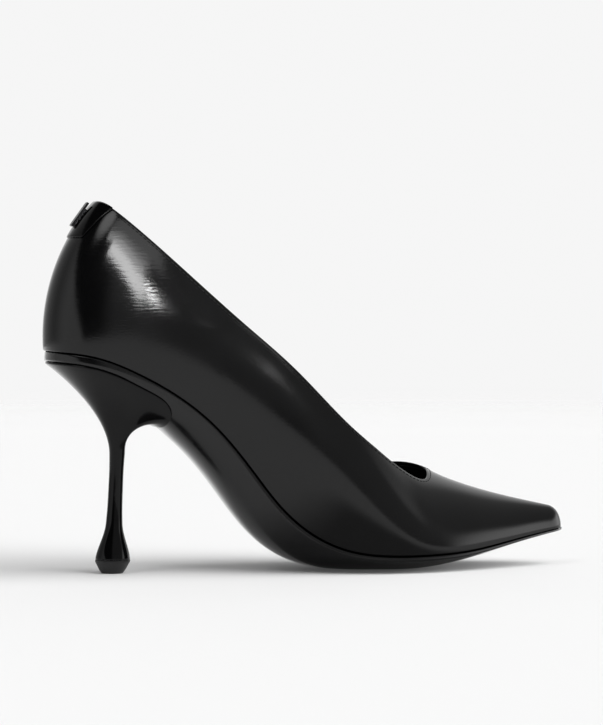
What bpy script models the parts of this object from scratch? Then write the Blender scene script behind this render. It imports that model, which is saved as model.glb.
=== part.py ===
"""A pointed-toe pump on a slim heel that swells to a drop at the floor, made as separate closed solids.

The shoe is drawn in millimetres on its last: x runs from the back of the heel to the toe, y to the inner
side of a right foot, and z up from the floor. The origin is the middle of the shoe's length, on the floor.
"""

import math
from collections import namedtuple

import bmesh
import bpy
import numpy as np
from mathutils import Matrix

MM = 0.001

# Driving sizes, in millimetres
LENGTH = 231.0
BALL_HALF = 35.5
HEEL_HEIGHT = 95.0
WALL = 1.6
GAP = 0.3

# The last: plan power of its round heel, length and power of its round nose
HEEL_POWER = 2.35
UPPER_TIP = LENGTH - 1.0
NOSE = 6.0
NOSE_POWER = 2.5

# The bottom of the last along the shoe. along: share of LENGTH. height: of the feather edge, where upper and
# sole meet, as a share of HEEL_HEIGHT. edge: thickness of the sole's edge. crown: how far the sole's underside
# swells below its edge. power: how flat that swell is across
Bottom = namedtuple("Bottom", "along height edge crown power")
BOTTOM = (
    Bottom(0.000, 1.000, 3.9, 2.0, 4.5),
    Bottom(0.080, 0.972, 3.4, 2.5, 4.5),
    Bottom(0.155, 0.901, 2.6, 4.2, 3.6),
    Bottom(0.235, 0.792, 2.2, 11.0, 1.3),
    Bottom(0.305, 0.653, 2.2, 12.5, 1.0),
    Bottom(0.365, 0.480, 2.2, 12.5, 1.0),
    Bottom(0.420, 0.306, 2.2, 12.6, 1.0),
    Bottom(0.480, 0.175, 2.2, 11.2, 1.0),
    Bottom(0.540, 0.106, 2.2, 7.9, 1.0),
    Bottom(0.610, 0.079, 2.2, 5.7, 1.0),
    Bottom(0.690, 0.078, 2.1, 5.6, 1.0),
    Bottom(0.780, 0.090, 1.8, 3.8, 1.0),
    Bottom(0.890, 0.133, 1.4, 1.5, 1.0),
    Bottom(1.000, 0.174, 1.0, 0.6, 1.0),
)

# Cross-sections of the upper in front of the heel. lateral, medial: half widths at the feather edge, as shares of
# BALL_HALF. ridge: height of the top line of the last, as a share of HEEL_HEIGHT. shift: how far the ridge lies
# to the inner side. lean: degrees the wall leaves the sole outwards. rise, crown: how long the wall stays
# upright and how broad the top is
Section = namedtuple("Section", "along lateral medial ridge shift lean rise crown")
SECTIONS = (
    Section(0.156, 0.710, 0.710, 1.737, 0.0, 4.0, 0.50, 0.95),
    Section(0.260, 0.662, 0.640, 1.632, 0.0, 7.0, 0.46, 0.90),
    Section(0.360, 0.648, 0.590, 1.440, 1.0, 11.0, 0.52, 0.86),
    Section(0.460, 0.746, 0.690, 1.180, 2.0, 13.5, 0.63, 0.84),
    Section(0.560, 0.915, 0.890, 0.880, 3.0, 14.5, 0.62, 0.74),
    Section(0.640, 1.000, 0.990, 0.635, 3.0, 11.0, 0.55, 0.60),
    Section(0.710, 0.944, 0.986, 0.484, 3.0, 8.0, 0.45, 0.50),
    Section(0.800, 0.732, 0.803, 0.381, 2.5, 8.0, 0.47, 0.50),
    Section(0.890, 0.468, 0.513, 0.318, 1.5, 7.0, 0.48, 0.52),
    Section(0.960, 0.254, 0.273, 0.279, 0.5, 5.0, 0.50, 0.55),
    Section(1.000, 0.140, 0.140, 0.257, 0.0, 4.0, 0.50, 0.55),
)
AXIS = SECTIONS[0].along * LENGTH
HEEL_HALF = SECTIONS[0].lateral * BALL_HALF
Back = namedtuple("Back", "lean rise crown")
BACK = Back(4.0, 0.55, 0.40)

# The topline seen from the side: share of LENGTH, share of HEEL_HEIGHT
Topline = namedtuple("Topline", "along height")
TOPLINE = (
    Topline(0.080, 1.652),
    Topline(0.094, 1.666),
    Topline(0.108, 1.654),
    Topline(0.121, 1.628),
    Topline(0.188, 1.485),
    Topline(0.275, 1.298),
    Topline(0.363, 1.108),
    Topline(0.452, 0.911),
    Topline(0.543, 0.680),
    Topline(0.594, 0.575),
    Topline(0.614, 0.537),
    Topline(0.640, 0.487),
)

# The throat, where the topline turns over the vamp in front of THROAT_JOIN. along: share of LENGTH. across: 0 at
# the outer feather edge, 1 at the ridge, 2 at the inner feather edge. THROAT_LEAD: topline behind the join that
# the throat's curve starts from
Throat = namedtuple("Throat", "along across")
THROAT = (
    Throat(0.6615, 0.553),
    Throat(0.6845, 0.583),
    Throat(0.6995, 0.615),
    Throat(0.7110, 0.665),
    Throat(0.7193, 0.742),
    Throat(0.7253, 0.843),
    Throat(0.7279, 0.935),
    Throat(0.7240, 1.010),
    Throat(0.7160, 1.080),
    Throat(0.7070, 1.145),
    Throat(0.6963, 1.217),
    Throat(0.6838, 1.296),
    Throat(0.6668, 1.374),
)
THROAT_JOIN = 0.63 * LENGTH
THROAT_LEAD = 8.0

# Sole and insole
SOLE_MARGIN = 0.6
SOLE_BACK = 0.8
SOLE_TIP = UPPER_TIP + 0.3
SOLE_HOLLOW = 0.7
SOLE_BEVEL = 0.2
INSOLE_THICK = 1.5
INSOLE_INSET = 2.2
INSOLE_TOE = 8.0

# Heel: the seat's outline on the sole, with a breast that curves in a little between its two front corners. Then
# how the flare leaves the seat at the back, the sides and the front: degrees down, and how far it holds its
# direction at the seat and at the stem. LIP: height of the upright edge below the seat. SEAT_CLEAR: degrees that
# the flare keeps below the sole at least
RIM_CENTRE = 33.0
RIM_BACK = 31.6
RIM_SIDE = 24.6
RIM_FRONT = 26.0
RIM_FRONT_POWER = 5.0
BREAST_DENT = 0.14
BREAST_POWER = 4
LIP = 0.8
SEAT_CLEAR = 5.0
Flare = namedtuple("Flare", "dip leave arrive")
FLARE_BACK = Flare(33.0, 7.0, 17.0)
FLARE_SIDE = Flare(45.0, 7.0, 16.0)
FLARE_FRONT = Flare(-30.0, 8.0, 11.0)

# The stem and the drop: height above the floor and radius, in millimetres
Drop = namedtuple("Drop", "height radius")
DROP = (
    Drop(51.0, 3.35),
    Drop(44.0, 3.10),
    Drop(36.0, 3.12),
    Drop(28.0, 3.25),
    Drop(22.5, 3.50),
    Drop(19.0, 3.85),
    Drop(16.0, 4.60),
    Drop(12.8, 5.65),
    Drop(9.8, 6.65),
    Drop(7.4, 7.25),
    Drop(6.0, 7.45),
)
TOP_PIECE = (
    Drop(5.7, 7.45),
    Drop(5.2, 7.50),
    Drop(3.9, 6.95),
    Drop(2.2, 6.05),
    Drop(0.5, 5.00),
    Drop(0.0, 4.60),
)
STEM_FOOT = 29.15
STEM_TILT = 0.0447

# Back trim: a leather patch round the top of the counter, and a small bar on it. TAB_SIDE: how much of the patch's
# height its lower edge climbs between the two angles
TAB_THICK = 0.6
TAB_FOOT = 143.0
TAB_FOOT_ANGLE = 30.0
TAB_TOP_ANGLE = 58.0
TAB_SIDE = 0.93
BAR_LENGTH = 12.3
BAR_WIDTH = 5.5
BAR_THICK = 1.1
BAR_EDGE = 0.35
BAR_TILT = 36.0
BAR_MIDDLE = 153.0

# Fineness of the faceted solids. MERGE: distance below which points are one. SHARP: degrees from which an edge
# looks sharp. SMALL: step over which slopes are taken
WALL_ROWS = 10
SIDE_COLUMNS = 22
FAN_COLUMNS = 20
VAMP_COLUMNS = 17
HEEL_SIDES = 52
FLARE_ROWS = 10
CAP_RINGS = 8
SOLE_ACROSS = 12
SOLE_STEP = 7.4
Ends = namedtuple("Ends", "heel toe")
SOLE_ENDS = Ends(9, 8)
INSOLE_ENDS = Ends(8, 5)
TAB_ROWS = 6
TAB_COLUMNS = 17
MERGE = 0.02
SHARP = 40.0
SMALL = 0.01

# Colour, roughness and metallic value of each piece
FINISHES = {
    "upper": ((0.012, 0.012, 0.013), 0.38, 0.0),
    "outsole": ((0.010, 0.010, 0.011), 0.22, 0.0),
    "insole": ((0.014, 0.013, 0.013), 0.55, 0.0),
    "heel": ((0.008, 0.008, 0.009), 0.12, 0.0),
    "top_piece": ((0.020, 0.020, 0.021), 0.45, 0.0),
    "back_tab": ((0.013, 0.013, 0.014), 0.40, 0.0),
    "back_bar": ((0.055, 0.055, 0.058), 0.30, 0.9),
}


def smooth_line(xs, ys, level_start=False):
    """A cubic spline through the points, level at its start or with no bend there, straight beyond its ends."""
    xs = np.asarray(xs, float)
    ys = np.asarray(ys, float)
    steps = np.diff(xs)
    slopes = np.diff(ys) / steps
    count = len(xs)
    matrix = np.eye(count)
    right = np.zeros(count)
    for i in range(1, count - 1):
        matrix[i, i - 1 : i + 2] = steps[i - 1], 2 * (steps[i - 1] + steps[i]), steps[i]
        right[i] = 6 * (slopes[i] - slopes[i - 1])
    if level_start:
        matrix[0, :2] = 2 * steps[0], steps[0]
        right[0] = 6 * slopes[0]
    bends = np.linalg.solve(matrix, right)
    starts = slopes - steps * (2 * bends[:-1] + bends[1:]) / 6
    end_slope = slopes[-1] + steps[-1] * (bends[-2] + 2 * bends[-1]) / 6

    def value(x):
        x = np.asarray(x, float)
        inside = np.clip(x, xs[0], xs[-1])
        i = np.clip(np.searchsorted(xs, inside, side="right") - 1, 0, count - 2)
        t = inside - xs[i]
        curve = ys[i] + t * (starts[i] + t * (bends[i] / 2 + t * (bends[i + 1] - bends[i]) / (6 * steps[i])))
        beyond = np.where(x < xs[0], starts[0] * (x - xs[0]), 0) + np.where(x > xs[-1], end_slope * (x - xs[-1]), 0)
        return curve + beyond

    return value


def column(rows, name, scale=1.0, level_start=False):
    """The spline of one named column of a table along the shoe."""
    return smooth_line(
        [row.along * LENGTH for row in rows], [getattr(row, name) * scale for row in rows], level_start
    )


feather = column(BOTTOM, "height", HEEL_HEIGHT)
sole_edge = column(BOTTOM, "edge")
sole_crown = column(BOTTOM, "crown")
sole_power = column(BOTTOM, "power")
lateral_half = column(SECTIONS, "lateral", BALL_HALF, True)
medial_half = column(SECTIONS, "medial", BALL_HALF, True)
ridge_height = column(SECTIONS, "ridge", HEEL_HEIGHT, True)
ridge_shift = column(SECTIONS, "shift", 1.0, True)
wall_lean = column(SECTIONS, "lean", 1.0, True)
wall_rise = column(SECTIONS, "rise", 1.0, True)
wall_crown = column(SECTIONS, "crown", 1.0, True)
topline = column(TOPLINE, "height", HEEL_HEIGHT)


def nose(x, end=UPPER_TIP):
    """1 along the shoe, falling to 0 at the tip as the last's nose rounds off."""
    t = np.clip((np.asarray(x, float) - (end - NOSE)) / NOSE, 0, 1)
    return (1 - t**NOSE_POWER) ** (1 / NOSE_POWER)


def wall_curve(foot, foot_z, top_z, lean, rise, crown, u):
    """One wall from the feather edge (u 0) to the ridge (u 1): a cubic that leaves the sole with the wall's lean
    and arrives level at the top. Returns the distance out from the ridge and the height."""
    height = top_z - foot_z
    bulge = foot + rise * height * np.tan(np.radians(lean))
    b0, b1, b2, b3 = (1 - u) ** 3, 3 * u * (1 - u) ** 2, 3 * u * u * (1 - u), u**3
    out = b0 * foot + b1 * bulge + b2 * crown * foot
    z = b0 * foot_z + b1 * (foot_z + rise * height) + (b2 + b3) * top_z
    return out, z


def section_point(x, across):
    """A point of the upper in front of the heel. across runs from 0 at the outer feather edge over 1 at the ridge
    to 2 at the inner feather edge."""
    x, across = np.broadcast_arrays(np.asarray(x, float), np.asarray(across, float))
    inner = across > 1
    k = nose(x)
    shift = ridge_shift(x)
    foot = np.where(inner, medial_half(x) - shift, lateral_half(x) + shift) * k
    foot_z = feather(x)
    top_z = foot_z + (ridge_height(x) - foot_z) * k
    u = np.where(inner, 2 - across, across)
    out, z = wall_curve(foot, foot_z, top_z, wall_lean(x), wall_rise(x), wall_crown(x), u)
    return np.stack([x, shift * k + np.where(inner, out, -out), z], axis=-1)


def heel_point(angle, u):
    """A point of the upper round the heel: the wall curve turned about an upright axis. angle is 0 on the outer
    side, half pi at the back and pi on the inner side."""
    angle, u = np.broadcast_arrays(np.asarray(angle, float), np.asarray(u, float))
    side, back = np.cos(angle), np.sin(angle)
    foot = (np.abs(side / HEEL_HALF) ** HEEL_POWER + np.abs(back / AXIS) ** HEEL_POWER) ** (-1 / HEEL_POWER)
    turn = back**2
    first = SECTIONS[0]
    out, z = wall_curve(
        foot,
        feather(AXIS - foot * back),
        ridge_height(AXIS),
        first.lean + (BACK.lean - first.lean) * turn,
        first.rise + (BACK.rise - first.rise) * turn,
        first.crown + (BACK.crown - first.crown) * turn,
        u,
    )
    return np.stack([AXIS - out * back, -out * side, z], axis=-1)


def height_at(points, wanted):
    """The parameter from 0 to 1 at which each wall of a grid of points (wall, step, xyz) reaches a wanted height,
    a function of x."""
    over = points[..., 2] - wanted(points[..., 0])
    first = np.argmax(over > 0, axis=1)
    rows = np.arange(len(points))
    low, high = over[rows, first - 1], over[rows, first]
    return (first - 1 + low / (low - high)) / (points.shape[1] - 1)


FINE = np.linspace(0, 1, 401)


def side_edge(x, inner):
    """across on the topline behind the throat, where the outer or inner wall reaches the side view's line."""
    reach = 2 - FINE if inner else FINE
    u = height_at(section_point(x[:, None], reach[None]), topline)
    return 2 - u if inner else u


def throat_edge(samples=800):
    """The edge of the throat from the outer to the inner topline: places along the shoe, and across there."""
    ends = THROAT_JOIN - np.array([THROAT_LEAD, 0.0])
    along = np.array([row.along * LENGTH for row in THROAT])
    across = np.array([row.across for row in THROAT])
    along = np.concatenate([ends, along, ends[::-1]])
    across = np.concatenate([side_edge(ends, False), across, side_edge(ends, True)[::-1]])
    way = np.concatenate([[0], np.cumsum(np.hypot(np.diff(along), BALL_HALF * np.diff(across)))])
    fine = np.linspace(0, way[-1], samples)
    return smooth_line(way, along)(fine), smooth_line(way, across)(fine)


THROAT_ALONG, THROAT_ACROSS = throat_edge()
FRONT = int(np.argmax(THROAT_ALONG))
THROAT_POINT = THROAT_ALONG[FRONT]
THROAT_SPLIT = THROAT_ACROSS[FRONT]


def topline_edge(x, inner):
    """across on the outer or inner topline, up to the throat's point."""
    half = slice(FRONT, None) if inner else slice(None, FRONT + 1)
    order = slice(None, None, -1) if inner else slice(None)
    throat = np.interp(x, THROAT_ALONG[half][order], THROAT_ACROSS[half][order])
    return np.where(x > THROAT_JOIN, throat, side_edge(np.minimum(x, THROAT_JOIN), inner))


def heel_edge(angle):
    """u on the topline round the heel."""
    return height_at(heel_point(angle[:, None], FINE[None]), topline)


def feather_half(s, medial, margin, back, front):
    """Half width of the last's outline at s, grown by a margin, rounded at its back and front ends."""
    heel = np.clip((AXIS - s) / (AXIS - back), 0, 1)
    half = (medial_half(np.maximum(s, AXIS)) if medial else lateral_half(np.maximum(s, AXIS))) + margin
    return half * (1 - heel**HEEL_POWER) ** (1 / HEEL_POWER) * nose(s, front)


def below_feather(s, y, depth):
    """A point that lies a depth below the feather edge's side view, square to its slope, never under the floor."""
    slope = (feather(s + SMALL) - feather(s - SMALL)) / (2 * SMALL)
    stretch = np.sqrt(1 + slope**2)
    z = np.maximum(feather(s) - depth / stretch, 0)
    return np.stack(np.broadcast_arrays(s + slope / stretch * depth, y, z), axis=-1)


def swell(s, y, power):
    """How much of the sole's crown is reached: 0 at the sole's outline, 1 on its middle line."""
    heel = np.clip((AXIS - s) / (AXIS - SOLE_BACK), 0, 1)
    half = np.where(y > 0, medial_half(np.maximum(s, AXIS)), lateral_half(np.maximum(s, AXIS))) + SOLE_MARGIN
    tip = nose(s, SOLE_TIP)
    share = (np.abs(y) / (half * np.maximum(tip, SMALL))) ** HEEL_POWER + heel**HEEL_POWER
    return 1 - np.clip(share, 0, 1) ** power


def underside(s, y, gap=0.0):
    """A point of the sole's rounded underside, or a gap below it."""
    return below_feather(s, y, sole_edge(s) + sole_crown(s) * swell(s, y, sole_power(s)) + gap)


def sole_top(s, y, lift=0.0):
    """A point of the sole's hollow upper face, or a lift above it."""
    return below_feather(s, y, GAP + SOLE_HOLLOW * sole_crown(s) * swell(s, y, 1) - lift)


def stations(back, front, counts):
    """Places along the shoe: even steps from the heel's axis on, the same for every plate, drawn together where
    the outline rounds off at its ends."""
    tip = 3 * SMALL
    heel = AXIS - (AXIS - back) * np.cos(np.linspace(tip, math.pi / 2, counts.heel))
    middle = np.arange(AXIS + SOLE_STEP, front - NOSE - SOLE_STEP / 2, SOLE_STEP)
    toe = front - NOSE + NOSE * np.sin(np.linspace(0, math.pi / 2 - tip, counts.toe))
    return np.concatenate([heel, middle, toe])


def grid_faces(rows, columns, first=0, closed=False):
    """Quads of a grid of points numbered row by row. closed joins the last column to the first."""
    faces = []
    for r in range(rows - 1):
        for c in range(columns if closed else columns - 1):
            d = (c + 1) % columns
            faces.append((first + r * columns + c, first + r * columns + d,
                          first + (r + 1) * columns + d, first + (r + 1) * columns + c))
    return faces


def finish(name):
    """The piece's material."""
    colour, roughness, metallic = FINISHES[name]
    material = bpy.data.materials.new(name)
    material.use_nodes = True
    shader = material.node_tree.nodes["Principled BSDF"]
    shader.inputs["Base Color"].default_value = (*colour, 1)
    shader.inputs["Roughness"].default_value = roughness
    shader.inputs["Metallic"].default_value = metallic
    return material


def add_piece(name, points, faces, collection):
    """An object from points in millimetres, moved so that the shoe's middle is the origin, doubles merged and
    faces turned outwards."""
    points = np.asarray(points, float).reshape(-1, 3) - (LENGTH / 2, 0, 0)
    mesh = bpy.data.meshes.new(name)
    mesh.from_pydata((points * MM).tolist(), [], faces)
    shape = bmesh.new()
    shape.from_mesh(mesh)
    bmesh.ops.remove_doubles(shape, verts=shape.verts, dist=MERGE * MM)
    bmesh.ops.recalc_face_normals(shape, faces=shape.faces)
    shape.to_mesh(mesh)
    shape.free()
    mesh.shade_smooth()
    mesh.set_sharp_from_angle(angle=math.radians(SHARP))
    mesh.materials.append(finish(name))
    piece = bpy.data.objects.new(name, mesh)
    collection.objects.link(piece)
    return piece


def thicken(piece, thickness, outwards):
    """Gives an open surface a wall, inwards or outwards."""
    wall = piece.modifiers.new("Wall", "SOLIDIFY")
    wall.thickness = thickness * MM
    wall.offset = 1 if outwards else -1
    wall.use_even_offset = False


def face_outwards(piece, inside):
    """Turns an open surface's faces away from a point inside it, given in millimetres."""
    centre = (np.asarray(inside, float) - (LENGTH / 2, 0, 0)) * MM
    shape = bmesh.new()
    shape.from_mesh(piece.data)
    away = sum((face.calc_center_median() - type(face.normal)(centre)).dot(face.normal) * face.calc_area()
               for face in shape.faces)
    if away < 0:
        bmesh.ops.reverse_faces(shape, faces=shape.faces)
    shape.to_mesh(piece.data)
    shape.free()


def build_upper(collection):
    """The leather shell: a strip from the throat's point round the heel and back, and the vamp in front of it."""
    v = np.linspace(0, 1, WALL_ROWS)[:, None]
    turn = np.linspace(0, math.pi / 2, SIDE_COLUMNS)
    sides = AXIS + (THROAT_POINT - AXIS) * np.sin(turn)
    outer = section_point(sides[::-1], topline_edge(sides[::-1], False) * v)
    angles = np.linspace(0, math.pi, FAN_COLUMNS + 1)[1:-1]
    fan = heel_point(angles, heel_edge(angles) * v)
    inner = section_point(sides, 2 - (2 - topline_edge(sides, True)) * v)
    strip = np.concatenate([outer, fan, inner], axis=1)
    front = THROAT_POINT + (UPPER_TIP - THROAT_POINT) * np.sin(np.linspace(0, math.pi / 2, VAMP_COLUMNS))
    across = np.concatenate([THROAT_SPLIT * v, 2 - (2 - THROAT_SPLIT) * v[-2::-1]])
    vamp = section_point(front, across)
    faces = grid_faces(*strip.shape[:2]) + grid_faces(*vamp.shape[:2], first=strip.shape[0] * strip.shape[1])
    upper = add_piece("upper", np.concatenate([strip.reshape(-1, 3), vamp.reshape(-1, 3)]), faces, collection)
    face_outwards(upper, (0.6 * LENGTH, 0, 0.3 * HEEL_HEIGHT))
    thicken(upper, WALL, outwards=False)


def plate(name, places, rings, collection):
    """A closed body lofted through rings of points, one ring for each place along the shoe."""
    count = rings.shape[1]
    faces = grid_faces(len(places), count, closed=True)
    faces.append(tuple(range(count)))
    faces.append(tuple(range((len(places) - 1) * count, len(places) * count)))
    return add_piece(name, rings, faces, collection)


def build_outsole(collection):
    """The sole: a hollow upper face, a thin upright edge and a crowned underside that is flat at the ball."""
    s = stations(SOLE_BACK, SOLE_TIP, SOLE_ENDS)[:, None]
    outer = feather_half(s, False, SOLE_MARGIN, SOLE_BACK, SOLE_TIP)
    inner = feather_half(s, True, SOLE_MARGIN, SOLE_BACK, SOLE_TIP)
    across = np.sin(np.linspace(-math.pi / 2, math.pi / 2, SOLE_ACROSS + 1))[None]
    y = np.where(across < 0, outer, inner) * across
    middle = below_feather(s, np.concatenate([inner, -outer], axis=1), sole_edge(s) / 2)
    under_y = y[:, ::-1] - np.sign(y[:, ::-1]) * np.minimum(SOLE_BEVEL, np.abs(y[:, ::-1]) / 4)
    rings = np.concatenate([sole_top(s, y), middle[:, :1], underside(s, under_y), middle[:, 1:]], axis=1)
    plate("outsole", s, rings, collection)


def build_insole(collection):
    """The insole: an even sheet that lies in the sole's hollow face, inside the upper's wall."""
    front = LENGTH - INSOLE_TOE
    s = stations(INSOLE_INSET, front, INSOLE_ENDS)[:, None]
    outer = feather_half(s, False, -INSOLE_INSET, INSOLE_INSET, front)
    inner = feather_half(s, True, -INSOLE_INSET, INSOLE_INSET, front)
    across = np.sin(np.linspace(-math.pi / 2, math.pi / 2, SOLE_ACROSS + 1))[None]
    y = np.where(across < 0, outer, inner) * across
    rings = np.concatenate([sole_top(s, y, GAP), sole_top(s, y[:, ::-1], GAP + INSOLE_THICK)], axis=1)
    plate("insole", s, rings, collection)


def rim(angle):
    """The heel seat's outline on the sole as distance from its middle: round behind, square in front with a
    breast that curves in."""
    front, side = np.cos(angle), np.abs(np.sin(angle))
    power = np.where(front > 0, RIM_FRONT_POWER, HEEL_POWER)
    length = np.where(front > 0, RIM_FRONT, RIM_BACK)
    outline = (np.abs(front / length) ** power + (side / RIM_SIDE) ** power) ** (-1 / power)
    return outline * (1 - BREAST_DENT * np.maximum(front, 0) ** BREAST_POWER)


def rim_angles(count):
    """Angles that step evenly along the heel seat's outline."""
    fine = np.linspace(0, 2 * math.pi, 2001)
    reach = rim(fine)
    steps = np.hypot(np.diff(reach * np.cos(fine)), np.diff(reach * np.sin(fine)))
    way = np.concatenate([[0], np.cumsum(steps)])
    return np.interp(np.linspace(0, way[-1], count, endpoint=False), way, fine)


def flare_value(name, angle):
    """A value of the flare round the heel, mixed from its values at the back, the sides and the front."""
    back, side, front = (getattr(flare, name) for flare in (FLARE_BACK, FLARE_SIDE, FLARE_FRONT))
    ahead = (1 + np.cos(angle)) / 2
    return back + (front - back) * ahead + (side - (back + front) / 2) * np.sin(angle) ** 2


def round_ring(drop, angle):
    """A ring of the stem or the drop, centred on the stem's slanting line."""
    x = STEM_FOOT + STEM_TILT * drop.height + drop.radius * np.cos(angle)
    return np.stack([x, drop.radius * np.sin(angle), np.full_like(angle, drop.height)], axis=-1)


def build_heel(collection):
    """The heel block: a seat that follows the sole, a flare, a slim stem and a drop, as rings from top to bottom."""
    angle = rim_angles(HEEL_SIDES)
    shares = np.sin(np.linspace(0, math.pi / 2, CAP_RINGS + 1))[:, None]
    seat = underside(RIM_CENTRE + shares * rim(angle) * np.cos(angle), shares * rim(angle) * np.sin(angle), GAP)
    down = np.array([0, 0, -1.0])
    start = seat[-1] + LIP * down
    end = round_ring(DROP[0], angle)
    dip, leave, arrive = (flare_value(name, angle)[:, None] for name in Flare._fields)
    step = seat[-2] - seat[-1]
    level = step * (1, 1, 0)
    run = np.linalg.norm(level, axis=-1, keepdims=True)
    sole_dip = np.degrees(np.arctan2(-step[:, 2:], run))
    dip = np.radians(np.maximum(dip, sole_dip + SEAT_CLEAR))
    first = start + leave * (level / run * np.cos(dip) + down * np.sin(dip))
    second = end - arrive * down
    t = np.linspace(0, 1, FLARE_ROWS + 1)[:, None, None]
    flare = (1 - t) ** 3 * start + 3 * t * (1 - t) ** 2 * first + 3 * t * t * (1 - t) * second + t**3 * end
    drop = np.stack([round_ring(row, angle) for row in DROP[1:]])
    rings = np.concatenate([seat, flare, drop])
    faces = grid_faces(len(rings), HEEL_SIDES, closed=True)
    faces.append(tuple(range((len(rings) - 1) * HEEL_SIDES, len(rings) * HEEL_SIDES)))
    add_piece("heel", rings, faces, collection)


def build_top_piece(collection):
    """The wear piece: a turned profile round the stem's line, flat on the floor."""
    profile = [(0.0, TOP_PIECE[0].height)] + [(row.radius, row.height) for row in TOP_PIECE]
    profile.append((0.0, TOP_PIECE[-1].height))
    points = [(radius * MM, 0, height * MM) for radius, height in profile]
    mesh = bpy.data.meshes.new("top_piece")
    mesh.from_pydata(points, [(i, i + 1) for i in range(len(points) - 1)], [])
    mesh.materials.append(finish("top_piece"))
    piece = bpy.data.objects.new("top_piece", mesh)
    piece.location = ((STEM_FOOT - LENGTH / 2) * MM, 0, 0)
    collection.objects.link(piece)
    turn = piece.modifiers.new("Turn", "SCREW")
    turn.axis = "Z"
    turn.steps = HEEL_SIDES
    turn.render_steps = HEEL_SIDES
    turn.use_merge_vertices = True
    turn.merge_threshold = MERGE * MM


def tab_points(lift, rows=TAB_ROWS, columns=TAB_COLUMNS):
    """The patch's grid: on the upper's own heel wall, lifted off it, from a foot at the back up to the topline."""
    swing = np.radians(np.linspace(-TAB_TOP_ANGLE, TAB_TOP_ANGLE, columns))
    angle = math.pi / 2 + swing
    top = heel_edge(angle)
    foot = height_at(heel_point(angle[:, None], FINE[None]), lambda x: np.full_like(x, TAB_FOOT))
    side = np.clip((np.abs(np.degrees(swing)) - TAB_FOOT_ANGLE) / (TAB_TOP_ANGLE - TAB_FOOT_ANGLE), 0, 1)
    foot = foot + (top - foot) * TAB_SIDE * side
    u = foot + (top - foot) * np.linspace(0, 1, rows)[:, None]
    along = heel_point(angle + SMALL, u) - heel_point(angle - SMALL, u)
    up = heel_point(angle, u + SMALL) - heel_point(angle, u - SMALL)
    out = np.cross(up, along)
    out /= np.linalg.norm(out, axis=-1, keepdims=True)
    return heel_point(angle, u) + lift * out


def build_back_tab(collection):
    """The patch: a thin sheet that follows the upper's outer face at a small gap."""
    points = tab_points(GAP)
    tab = add_piece("back_tab", points, grid_faces(*points.shape[:2]), collection)
    face_outwards(tab, (AXIS, 0, TAB_FOOT))
    thicken(tab, TAB_THICK, outwards=True)


def build_back_bar(collection):
    """The bar: a rounded block that lies against the patch on its middle line."""
    tilt = math.radians(BAR_TILT)
    out = np.array([-math.cos(tilt), 0, math.sin(tilt)])
    skin = tab_points(GAP + TAB_THICK, 4 * TAB_ROWS, 2 * TAB_COLUMNS).reshape(-1, 3)
    near = skin[np.abs(skin[:, 1]) < BAR_WIDTH / 2]
    level = np.max(near @ out) + GAP + BAR_THICK / 2
    middle = out * level
    along = np.array([math.sin(tilt), 0, math.cos(tilt)])
    middle = middle + along * (BAR_MIDDLE - middle[2]) / along[2]
    mesh = bpy.data.meshes.new("back_bar")
    shape = bmesh.new()
    size = np.array([BAR_THICK, BAR_WIDTH, BAR_LENGTH]) * MM
    bmesh.ops.create_cube(shape, size=1, matrix=Matrix.Diagonal((*size, 1)))
    shape.to_mesh(mesh)
    shape.free()
    mesh.materials.append(finish("back_bar"))
    bar = bpy.data.objects.new("back_bar", mesh)
    bar.location = (middle - (LENGTH / 2, 0, 0)) * MM
    bar.rotation_euler = (0, tilt, 0)
    collection.objects.link(bar)
    edge = bar.modifiers.new("Edge", "BEVEL")
    edge.width = BAR_EDGE * MM
    edge.segments = 2


def main():
    for old in list(bpy.data.objects):
        bpy.data.objects.remove(old, do_unlink=True)
    shoe = bpy.data.collections.new("pump")
    bpy.context.scene.collection.children.link(shoe)
    build_upper(shoe)
    build_outsole(shoe)
    build_insole(shoe)
    build_heel(shoe)
    build_top_piece(shoe)
    build_back_tab(shoe)
    build_back_bar(shoe)


main()
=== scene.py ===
"""Looks of a black leather pump on a heel that swells to a drop.

The file is laid out as a Blender add-on and is run as a script. Shapes are worked out in millimetres on the
last: x runs from the back of the heel to the toe, y to the inner side of a right foot, and z up from the
floor. The finished meshes are in metres, with the shoe's middle at the origin.
"""

import math
from collections import namedtuple

import bmesh
import bpy
import numpy as np
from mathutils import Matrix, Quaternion, Vector


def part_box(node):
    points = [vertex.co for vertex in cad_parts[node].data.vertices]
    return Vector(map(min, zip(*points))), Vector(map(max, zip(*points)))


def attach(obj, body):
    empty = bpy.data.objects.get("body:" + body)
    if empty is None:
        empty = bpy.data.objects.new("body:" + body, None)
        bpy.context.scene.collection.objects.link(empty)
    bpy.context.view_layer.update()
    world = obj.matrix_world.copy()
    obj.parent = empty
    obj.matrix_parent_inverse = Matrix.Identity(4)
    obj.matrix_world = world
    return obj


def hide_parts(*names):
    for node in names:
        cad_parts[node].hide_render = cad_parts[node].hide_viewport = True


bl_info = {
    "name": "Drop Heel Pump",
    "version": (1, 0, 0),
    "blender": (4, 5, 0),
    "location": "3D View > Sidebar > Pump",
    "description": "Dresses the solids of a pointed leather pump with leather, lacquer, lining and stitches",
    "category": "Mesh",
}

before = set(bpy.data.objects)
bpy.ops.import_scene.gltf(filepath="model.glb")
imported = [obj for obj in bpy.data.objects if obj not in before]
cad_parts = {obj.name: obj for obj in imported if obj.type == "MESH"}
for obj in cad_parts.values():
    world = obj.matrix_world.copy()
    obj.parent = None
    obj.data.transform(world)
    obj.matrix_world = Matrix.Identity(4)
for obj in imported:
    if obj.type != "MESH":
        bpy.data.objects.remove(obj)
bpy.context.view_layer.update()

# A millimetre in metres, then in millimetres a small step and how near points are to be merged
MM = 0.001
SMALL = 0.01
MERGE = 0.004
UP = np.array([0.0, 0.0, 1.0])

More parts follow.
